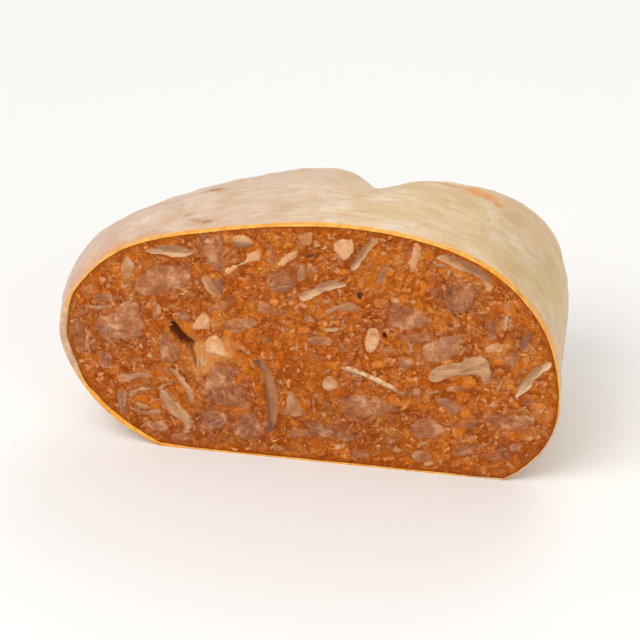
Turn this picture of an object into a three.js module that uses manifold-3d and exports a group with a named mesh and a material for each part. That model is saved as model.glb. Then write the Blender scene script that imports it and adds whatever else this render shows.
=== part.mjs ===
// Half of a stuffed pork stomach: a thin stomach wall round a coarse paprika filling.
// It lies on its flattened underside with the upright cut to the front.
// Millimetres, +Z up. The cut looks along -Y and +X runs to its right.
// The origin is under the middle of the part, on the surface it lies on.

import * as THREE from "three";
import { mergeVertices } from "three/addons/utils/BufferGeometryUtils.js";
import Module from "manifold-3d";

const wasm = await Module();
wasm.setup();

// ---- Driving dimensions -------------------------------------------------------------------

// The rim of the cut as [x, z], from its right side over the top to the left. What would
// reach below z = 0 is pressed flat by the weight of the piece.
const CUT_RIM = [
  [85, 38], [77, 70], [52, 94], [8.5, 103.5], [-42, 98], [-84, 84], [-106, 53],
  [-98, 24], [-75, 3], [-40, -6], [15, -8], [56, -4], [78.5, 13.5],
];
const CUT_CENTRE = { x: -10, z: 46 };

// How far the body reaches behind the cut, at each x: [x, depth].
const BODY_DEPTH = [
  [-112, 84.5], [-85, 66.5], [-60, 75], [-35, 82.5], [-12, 85],
  [20, 80.5], [42, 81], [64, 87], [90, 95],
];
const DEPTH_LEAN = 0.11; // share by which the depth grows from mid height to the top
const MID_HEIGHT = 50;

// Towards the back the body closes in. A low power keeps it full, a power of 1 is round.
const SIDE_POWER = 0.5;
const TOP_POWER = 0.6;
const UNDER_POWER = 0.35;
const REAR_POWER = 0.8;
const REAR_SHIFT = 31.5; // the rearmost point lies this far right of the middle of the cut
const LEFT_SWELL = 0.18;
const RIGHT_SWELL = -0.07;

// The crease at the back that parts the body into two lobes; it fades towards the underside.
const CREASE = { x: 8.7, depth: 23, halfWidth: 12.8, lowShare: 0.2, fullHeight: 95 };

const WALL = 1.8; // thickness of the stomach wall
const GAP = 0.3; // clearance between touching pieces

// The pieces that the knife met, by kind: [x, z, length, width, turn, bend], in degrees.
// Turn goes anticlockwise from +X, and a positive bend lifts both ends to the left of it.
const MEAT = [
  [-65, 75.5, 19, 12, 20, 0], [-82.5, 56, 19, 16, 60, 0], [-46.5, 89, 11, 7.5, 80, 0],
  [-25.5, 91, 9.5, 4.5, 95, 0], [-35, 57, 16, 8, 8, 0], [-27, 66, 15, 6, 0, 0],
  [-24, 76.5, 12, 9, 30, 0], [47, 75, 13, 10, 20, 0], [40, 56, 17, 9, 20, 0],
  [27, 66.5, 17, 9, -10, 0], [-67.5, 44, 17, 6.5, 95, 0], [-43, 30, 19, 13, 15, 0],
  [-47.5, 14, 11, 7, 10, 0], [-34, 10.5, 12, 8, 30, 0], [-69, 9.5, 13, 5, 0, 0],
  [-1, 14, 18, 6, -10, 10], [11, 27, 22, 10.5, 12, 0], [35, 20, 16, 9, 5, 0],
  [65.5, 25, 18, 8, 3, 0], [49, 11.5, 10, 6, 25, 0], [62, 11, 10, 6, 25, 0],
  [-97.5, 46, 15, 4.5, 90, -12],
];
const FAT = [
  [3.5, 94, 8.5, 6.5, 75, 0], [14, 56, 11.5, 5.5, 80, 0], [-31.5, 87, 8, 5, 35, 0],
  [-17.5, 88.5, 9, 4, 38, 0], [-51, 56, 8, 6, 15, 0], [-46, 47.5, 10, 7.5, -30, 0],
  [29.3, 91.5, 12, 4, 80, 0], [-16, 24, 9, 5.5, 110, 0], [33, 7.5, 10, 5, -30, 0],
  [61, 58, 8, 4, -10, 0], [-79, 77.5, 9, 5, 65, 0], [-10.5, 96, 10, 4.5, 20, 0],
  [-3, 35, 7, 5, 60, 0],
];
const SKIN = [
  [-62, 86.6, 20, 4, 3, -30], [-4.5, 76, 19, 4, 25, 6], [11, 93, 15, 4, 55, 0],
  [17.8, 84, 11, 3, 60, 0], [45, 89.3, 21, 3.6, -16, -35], [1, 68.5, 15, 4, 12, 0],
  [-25, 30, 27, 5, -82, -35], [-63.5, 20, 24, 4, -58, 40], [-75, 24.5, 11, 2, 15, 0],
  [-73, 16.5, 14, 2.4, -15, 50], [-77.5, 31, 13, 2.6, 5, -40], [-56.8, 30.5, 13, 3.2, -68, -25],
  [14, 38.5, 26, 3.2, -21, -8], [48, 46.5, 24, 5.5, 12, -30], [73.3, 45.5, 16, 4, 52, -25],
  [70.8, 61.5, 10, 4.5, 62, 0], [44, 32, 11, 5.5, -30, 0], [-83, 18.5, 12, 3.6, -70, 0],
  [-46, 74, 10, 5, -45, 0], [-37, 92.5, 8, 4.2, 10, 0], [-12.5, 81.3, 7.5, 4, 70, 0],
];
// Holes where the filling did not close: [x, z, length, width, turn, bend].
const HOLES = [
  [-59.5, 50.5, 9, 3.6, -45, 10], [19, 58.6, 3.6, 3, 70, 0],
];

// How a kind of piece is cut: how square its ends are, how far it goes in and how proud it stands.
const KINDS = {
  meat: { rows: MEAT, endPower: 0.8, uneven: 0.1, depthShare: 0.9, proud: -0.3 },
  fat: { rows: FAT, endPower: 0.85, uneven: 0.07, depthShare: 1, proud: 0.3 },
  skin: { rows: SKIN, endPower: 0.6, uneven: 0.08, depthShare: 0.6, proud: 0.2 },
  hole: { rows: HOLES, endPower: 0.8, uneven: 0.12, depthShare: 0.9, proud: 0 },
};
const DEEPEST = 12; // no piece goes farther into the filling than this
const SHALLOWEST = 4;
const INNER_SHARE = 0.6; // size of a piece at its inner end, against its size at the cut
const PIECE_SIDES = 12;
const POCKET_MOUTH = 1; // how far a pocket's cutter starts in front of the cut

// Fineness of the body's surface.
const SIDES_ROUND = 72;
const RINGS_BACK = 17;
const STEP_POWER = 1.6; // above 1, the rings lie closer together towards the rearmost point
const SEED = 11;

// ---- Materials ----------------------------------------------------------------------------

function material(color, roughness) {
  return new THREE.MeshStandardMaterial({ color, roughness, metalness: 0 });
}
const wallMaterial = material("#d8c09a", 0.5);
const fillingMaterial = material("#b4591f", 0.5);
const pieceMaterials = {
  meat: material("#a9715c", 0.45),
  fat: material("#e4cfb2", 0.4),
  skin: material("#cfae88", 0.35),
};

// ---- The body's outside -------------------------------------------------------------------

const rimCurve = new THREE.CatmullRomCurve3(
  CUT_RIM.map(([x, z]) => new THREE.Vector3(x, 0, z)),
  true,
  "catmullrom",
);

// A smooth curve through [x, value] stations, read at x.
function alongStations(stations, x) {
  const last = stations.length - 1;
  const at = Math.min(Math.max(x, stations[0][0]), stations[last][0]);
  let i = 0;
  while (i < last - 1 && at > stations[i + 1][0]) i += 1;
  const slope = (k) => {
    const before = stations[Math.max(k - 1, 0)];
    const after = stations[Math.min(k + 1, last)];
    return (after[1] - before[1]) / (after[0] - before[0]);
  };
  const span = stations[i + 1][0] - stations[i][0];
  const t = (at - stations[i][0]) / span;
  const rise = (3 - 2 * t) * t * t;
  return (
    (1 - rise) * stations[i][1] +
    rise * stations[i + 1][1] +
    t * (1 - t) * (1 - t) * span * slope(i) -
    t * t * (1 - t) * span * slope(i + 1)
  );
}

// round goes once round the rim (0 to 1), back from the cut (0) to the rearmost point (1),
// in steps that stay even where the body closes in.
function outsidePoint(round, back) {
  const rim = rimCurve.getPoint(round);
  const turn = (Math.PI / 2) * (1 - (1 - back) ** STEP_POWER);
  const closing = Math.max(Math.cos(turn), 0);
  const going = Math.sin(turn);
  const across = rim.x - CUT_CENTRE.x;
  const up = rim.z - CUT_CENTRE.z;
  const swell = 1 + (across > 0 ? RIGHT_SWELL : LEFT_SWELL) * Math.sin(2 * turn);
  const x = CUT_CENTRE.x + REAR_SHIFT * going * going + across * closing ** SIDE_POWER * swell;
  const z = CUT_CENTRE.z + up * closing ** (up > 0 ? TOP_POWER : UNDER_POWER);
  const fade = THREE.MathUtils.smoothstep(z, 0, CREASE.fullHeight);
  const dip = Math.exp(-(((x - CREASE.x) / CREASE.halfWidth) ** 2));
  const crease = CREASE.depth * dip * THREE.MathUtils.lerp(CREASE.lowShare, 1, fade);
  const lean = 1 + (DEPTH_LEAN * (z - MID_HEIGHT)) / MID_HEIGHT;
  const y = (alongStations(BODY_DEPTH, x) * lean - crease) * going ** REAR_POWER;
  return new THREE.Vector3(x, y, Math.max(z, 0));
}

// The outside as rings of points, front to back, with the rearmost point last.
function outsidePoints() {
  const points = [];
  for (let ring = 0; ring < RINGS_BACK; ring += 1) {
    for (let side = 0; side < SIDES_ROUND; side += 1) {
      points.push(outsidePoint(side / SIDES_ROUND, ring / RINGS_BACK));
    }
  }
  points.push(outsidePoint(0, 1));
  return points;
}

const outside = outsidePoints();

// Triangles of one such skin, facing out, each patch of four points split along the shorter
// diagonal of the outside. start is the number of the skin's first point.
function skinTriangles(start) {
  const triangles = [];
  const at = (ring, side) => ring * SIDES_ROUND + (side % SIDES_ROUND);
  const tip = RINGS_BACK * SIDES_ROUND;
  for (let side = 0; side < SIDES_ROUND; side += 1) {
    for (let ring = 0; ring < RINGS_BACK - 1; ring += 1) {
      const [a, b] = [at(ring, side), at(ring, side + 1)];
      const [c, d] = [at(ring + 1, side), at(ring + 1, side + 1)];
      if (outside[b].distanceTo(outside[c]) < outside[a].distanceTo(outside[d])) {
        triangles.push([a, c, b], [b, c, d]);
      } else {
        triangles.push([a, c, d], [a, d, b]);
      }
    }
    triangles.push([at(RINGS_BACK - 1, side + 1), at(RINGS_BACK - 1, side), tip]);
  }
  return triangles.map((triangle) => triangle.map((point) => point + start));
}

function geometryOf(points, triangles) {
  const geometry = new THREE.BufferGeometry().setFromPoints(points);
  geometry.setIndex(triangles.flat());
  return geometry;
}

// The same skin moved inwards everywhere, with its front ring kept in the cut.
function insetPoints(points, depth) {
  const geometry = geometryOf(points, skinTriangles(0));
  geometry.computeVertexNormals();
  const normal = new THREE.Vector3();
  return points.map((point, i) => {
    normal.fromBufferAttribute(geometry.attributes.normal, i);
    if (i < SIDES_ROUND) normal.setY(0).normalize();
    return point.clone().addScaledVector(normal, -depth);
  });
}

// ---- Wall and filling ---------------------------------------------------------------------

function stomachWall() {
  const inside = insetPoints(outside, WALL);
  const innerStart = outside.length;
  const triangles = skinTriangles(0);
  for (const [a, b, c] of skinTriangles(innerStart)) triangles.push([a, c, b]);
  for (let side = 0; side < SIDES_ROUND; side += 1) {
    const next = (side + 1) % SIDES_ROUND;
    triangles.push([side, next, innerStart + side]);
    triangles.push([next, innerStart + next, innerStart + side]);
  }
  return geometryOf([...outside, ...inside], triangles);
}

// The filling before any piece is let in, its cut face a fan round the middle of the cut.
function plainFilling() {
  const points = insetPoints(outside, WALL + GAP);
  const triangles = skinTriangles(0);
  const hub = points.length;
  points.push(new THREE.Vector3(CUT_CENTRE.x, 0, CUT_CENTRE.z));
  for (let side = 0; side < SIDES_ROUND; side += 1) {
    triangles.push([hub, side, (side + 1) % SIDES_ROUND]);
  }
  return geometryOf(points, triangles);
}

// ---- Pieces in the filling ----------------------------------------------------------------

// Random numbers from 0 to 1, the same ones on every run.
function seededRandom(seed) {
  let state = seed;
  return () => {
    state = (state * 1664525 + 1013904223) % 4294967296;
    return state / 4294967296;
  };
}
const random = seededRandom(SEED);

const signedPower = (value, power) => Math.sign(value) * Math.abs(value) ** power;

// The outline of one piece at the cut, anticlockwise: an oval with blunt ends, then bent.
function pieceOutline([x, z, length, width, turn, bend], { endPower, uneven }) {
  const bendAngle = THREE.MathUtils.degToRad(bend);
  const phase = random() * 2 * Math.PI;
  const outline = [];
  for (let i = 0; i < PIECE_SIDES; i += 1) {
    const angle = (2 * Math.PI * (i + 0.5)) / PIECE_SIDES;
    const wobble = 1 + uneven * Math.sin(2 * angle + phase) + uneven * (random() - 0.5);
    const along = (length / 2) * signedPower(Math.cos(angle), endPower) * wobble;
    const aside = (width / 2) * signedPower(Math.sin(angle), endPower) * wobble;
    const point = new THREE.Vector2(along, aside);
    if (bend !== 0) {
      const radius = length / bendAngle;
      const swing = along / radius;
      point.set((radius - aside) * Math.sin(swing), radius - (radius - aside) * Math.cos(swing));
    }
    point.rotateAround(new THREE.Vector2(0, 0), THREE.MathUtils.degToRad(turn));
    outline.push(point.add(new THREE.Vector2(x, z)));
  }
  return outline;
}

const middleOf = (outline) =>
  outline.reduce((sum, p) => sum.add(p), new THREE.Vector2()).divideScalar(outline.length);

function scaledOutline(outline, share) {
  const middle = middleOf(outline);
  return outline.map((p) => p.clone().sub(middle).multiplyScalar(share).add(middle));
}

// The outline moved outwards by a distance, each corner along the mean of its two sides.
function grownOutline(outline, distance) {
  const count = outline.length;
  return outline.map((p, i) => {
    const before = outline[(i + count - 1) % count];
    const after = outline[(i + 1) % count];
    const along = after.clone().sub(before).normalize();
    return p.clone().add(new THREE.Vector2(along.y, -along.x).multiplyScalar(distance));
  });
}

// A flat lid on a closed outline of [x, z] points, as triples of its points' numbers.
function lidTriangles(outline) {
  return THREE.ShapeUtils.triangulateShape(outline, []);
}

// A solid between two outlines of equal count, the front one at y = frontY.
function taperedSolid(frontOutline, frontY, innerOutline, innerY) {
  const count = frontOutline.length;
  const points = [
    ...frontOutline.map((p) => new THREE.Vector3(p.x, frontY, p.y)),
    ...innerOutline.map((p) => new THREE.Vector3(p.x, innerY, p.y)),
  ];
  const triangles = lidTriangles(frontOutline);
  for (const [a, b, c] of lidTriangles(innerOutline)) {
    triangles.push([a + count, c + count, b + count]);
  }
  for (let i = 0; i < count; i += 1) {
    const next = (i + 1) % count;
    triangles.push([i, i + count, next], [next, i + count, next + count]);
  }
  return geometryOf(points, triangles);
}

function pieceDepth([, , length, width], { depthShare }) {
  const mean = Math.sqrt(length * width);
  return THREE.MathUtils.clamp(mean * depthShare, SHALLOWEST, DEEPEST);
}

function pieceSolid(outline, depth, proud) {
  return taperedSolid(outline, -proud, scaledOutline(outline, INNER_SHARE), depth);
}

// What is cut from the filling for a piece: the piece with clearance, open to the front.
function pocketCutter(outline, depth) {
  const mouth = grownOutline(outline, GAP);
  const inner = grownOutline(scaledOutline(outline, INNER_SHARE), GAP);
  const slope = (1 - INNER_SHARE) / depth;
  const wide = scaledOutline(mouth, 1 + slope * POCKET_MOUTH);
  return taperedSolid(wide, -POCKET_MOUTH, inner, depth + GAP);
}

// ---- Booleans -----------------------------------------------------------------------------

function toSolid(geometry) {
  const bare = geometry.clone();
  bare.deleteAttribute("normal");
  const merged = mergeVertices(bare, 1e-4);
  return new wasm.Manifold(
    new wasm.Mesh({
      numProp: 3,
      vertProperties: merged.attributes.position.array,
      triVerts: new Uint32Array(merged.index.array),
    }),
  );
}

function toGeometry(solid) {
  const mesh = solid.getMesh();
  const geometry = new THREE.BufferGeometry();
  geometry.setAttribute("position", new THREE.BufferAttribute(mesh.vertProperties, 3));
  geometry.setIndex(new THREE.BufferAttribute(mesh.triVerts, 1));
  return geometry;
}

// ---- The whole ----------------------------------------------------------------------------

const group = new THREE.Group();
const body = new THREE.Group(); // modelled from the cut, then moved over the origin

function addPart(name, geometry, ownMaterial) {
  const mesh = new THREE.Mesh(geometry, ownMaterial);
  mesh.name = name;
  body.add(mesh);
}

addPart("stomach_wall", stomachWall(), wallMaterial);

let filling = toSolid(plainFilling());
for (const [kind, cut] of Object.entries(KINDS)) {
  cut.rows.forEach((row, i) => {
    const outline = pieceOutline(row, cut);
    const depth = pieceDepth(row, cut);
    filling = filling.subtract(toSolid(pocketCutter(outline, depth)));
    if (kind === "hole") return;
    const name = `${kind}_${String(i + 1).padStart(2, "0")}`;
    addPart(name, pieceSolid(outline, depth, cut.proud), pieceMaterials[kind]);
  });
}
addPart("filling", toGeometry(filling), fillingMaterial);

const bounds = new THREE.Box3().setFromObject(body);
const middle = bounds.getCenter(new THREE.Vector3());
body.position.set(-middle.x, -middle.y, -bounds.min.z);
group.add(body);

export default group;
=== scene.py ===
"""Half of a stuffed pork stomach: its looks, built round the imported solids.

Shapes are worked out in the frame of the cut, in millimetres: x runs right along the cut, y goes
into the body and z is up. placed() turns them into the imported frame, in metres.
"""

import math

import bpy
import numpy as np
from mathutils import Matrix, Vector, noise
from mathutils.geometry import delaunay_2d_cdt


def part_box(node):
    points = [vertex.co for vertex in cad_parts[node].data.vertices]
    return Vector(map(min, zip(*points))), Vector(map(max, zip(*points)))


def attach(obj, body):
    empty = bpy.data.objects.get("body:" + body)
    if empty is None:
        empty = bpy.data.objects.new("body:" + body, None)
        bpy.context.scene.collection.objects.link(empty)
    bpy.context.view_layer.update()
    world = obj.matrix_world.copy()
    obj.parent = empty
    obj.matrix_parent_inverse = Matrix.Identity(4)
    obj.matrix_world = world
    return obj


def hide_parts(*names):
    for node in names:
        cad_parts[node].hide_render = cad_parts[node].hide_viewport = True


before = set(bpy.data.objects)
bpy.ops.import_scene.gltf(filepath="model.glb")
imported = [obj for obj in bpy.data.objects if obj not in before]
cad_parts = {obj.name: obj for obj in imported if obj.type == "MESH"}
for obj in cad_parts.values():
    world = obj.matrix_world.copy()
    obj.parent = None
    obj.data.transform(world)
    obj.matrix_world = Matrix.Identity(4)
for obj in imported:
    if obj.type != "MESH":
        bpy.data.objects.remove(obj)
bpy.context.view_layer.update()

MM = 0.001
SEED = 7

# ---- Sizes of the body, in mm ---------------------------------------------------------------

# The rim of the cut as [x, z], from its right side over the top to the left.
CUT_RIM = np.array([
    [85, 38], [77, 70], [52, 94], [8.5, 103.5], [-42, 98], [-84, 84], [-106, 53],
    [-98, 24], [-75, 3], [-40, -6], [15, -8], [56, -4], [78.5, 13.5],
])
CUT_CENTRE = np.array([-10.0, 46.0])

# How far the body reaches behind the cut, at each x: [x, depth].
BODY_DEPTH = np.array([
    [-112, 84.5], [-85, 66.5], [-60, 75], [-35, 82.5], [-12, 85],
    [20, 80.5], [42, 81], [64, 87], [90, 95],
])
DEPTH_LEAN = 0.11
MID_HEIGHT = 50
SIDE_POWER, TOP_POWER, UNDER_POWER, REAR_POWER = 0.5, 0.6, 0.35, 0.8
REAR_SHIFT = 31.5
LEFT_SWELL, RIGHT_SWELL = 0.18, -0.07
STEP_POWER = 1.6

# The crease that parts the back into two lobes: sharp at its bottom and steeper on its left.
CREASE_X, CREASE_DEPTH, CREASE_POWER = 7.6, 24, 1.3
CREASE_LEFT_WIDTH, CREASE_RIGHT_WIDTH = 10.5, 14.5
CREASE_LOW_SHARE, CREASE_FULL_HEIGHT = 0.2, 95

EDGE_WIDTH = 0.65      # the cut edge of the stomach wall
LEFT_EDGE_WIDTH = 2.9   # it is cut at a slant on the left
FOLD_EDGE_WIDTH = 2.2   # and folds under at the lower left
EDGE_GAP = 0.08         # hairline between the wall and the filling
WALL_THICKNESS = 1.6

WALL_SIDES, WALL_RINGS = 400, 112
FILLING_SIDES, FILLING_RINGS = 400, 32
HIDDEN_CREASE = 1.22     # how much deeper the crease is on the hidden shapes, so none comes through
CUT_STEP, PIECE_STEP = 0.8, 0.75    # spacing of the points on the cut and on its pieces

# Marks on the outside: [round, back, length, width, strength]. Round runs from 0 at the right
# side of the rim over the top, back from 0 at the cut to 1 at the rearmost point.
BROWN_MARKS = [
    [0.328, 0.160, 4.4, 3.4, 1.0], [0.334, 0.150, 3.0, 2.0, 0.7], [0.314, 0.054, 4.6, 1.1, 0.6],
    [0.333, 0.042, 3.4, 1.5, 0.9], [0.327, 0.029, 4.4, 1.2, 1.0], [0.320, 0.019, 4.2, 1.1, 1.0],
    [0.343, 0.013, 2.4, 0.9, 0.9], [0.352, 0.020, 4.0, 0.9, 0.6], [0.362, 0.012, 5.0, 0.8, 0.7],
    [0.398, 0.012, 1.1, 0.8, 0.9], [0.300, 0.080, 6.0, 0.8, 0.5], [0.284, 0.130, 4.0, 0.8, 0.5],
    [0.276, 0.180, 3.0, 0.9, 0.5], [0.252, 0.165, 8.0, 0.7, 0.45], [0.226, 0.100, 4.0, 0.7, 0.45],
    [0.195, 0.062, 3.0, 0.9, 0.55], [0.192, 0.268, 6.0, 1.4, 0.7], [0.153, 0.226, 2.6, 1.2, 0.7],
    [0.146, 0.105, 2.0, 0.9, 0.5], [0.150, 0.130, 2.5, 0.8, 0.45], [0.115, 0.060, 2.0, 0.9, 0.5],
    [0.560, 0.300, 3.0, 1.5, 0.45],
]
ORANGE_STAINS = [
    [0.176, 0.262, 6.5, 5.0, 1.0], [0.164, 0.258, 5.0, 4.5, 1.0], [0.154, 0.240, 4.0, 3.4, 0.9],
    [0.192, 0.276, 6.0, 3.0, 0.8], [0.210, 0.290, 5.0, 2.4, 0.5], [0.385, 0.010, 13.0, 2.8, 0.8],
    [0.410, 0.016, 11.0, 4.0, 0.7], [0.362, 0.008, 9.0, 1.6, 0.8], [0.436, 0.016, 12.0, 4.0, 0.7],
    [0.120, 0.030, 4.0, 2.0, 0.6], [0.062, 0.010, 14.0, 2.0, 0.8], [0.090, 0.008, 9.0, 1.6, 0.7],
    [0.345, 0.040, 5.0, 3.0, 0.5], [0.740, 0.500, 30.0, 14.0, 0.35], [0.560, 0.380, 16.0, 9.0, 0.4],
    [0.900, 0.620, 12.0, 9.0, 0.45], [0.300, 0.700, 9.0, 5.0, 0.4], [0.460, 0.300, 10.0, 6.0, 0.4],
]
STRAW_PATCHES = [
    [0.066, 0.150, 12.0, 15.0, 1.0], [0.040, 0.090, 9.0, 9.0, 0.9], [0.092, 0.070, 12.0, 6.0, 0.9],
    [0.118, 0.045, 9.0, 4.0, 0.7], [0.215, 0.060, 18.0, 6.0, 0.5], [0.190, 0.150, 8.0, 8.0, 0.45],
    [0.240, 0.300, 8.0, 14.0, 0.5], [0.640, 0.500, 24.0, 16.0, 0.5],
]

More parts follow.
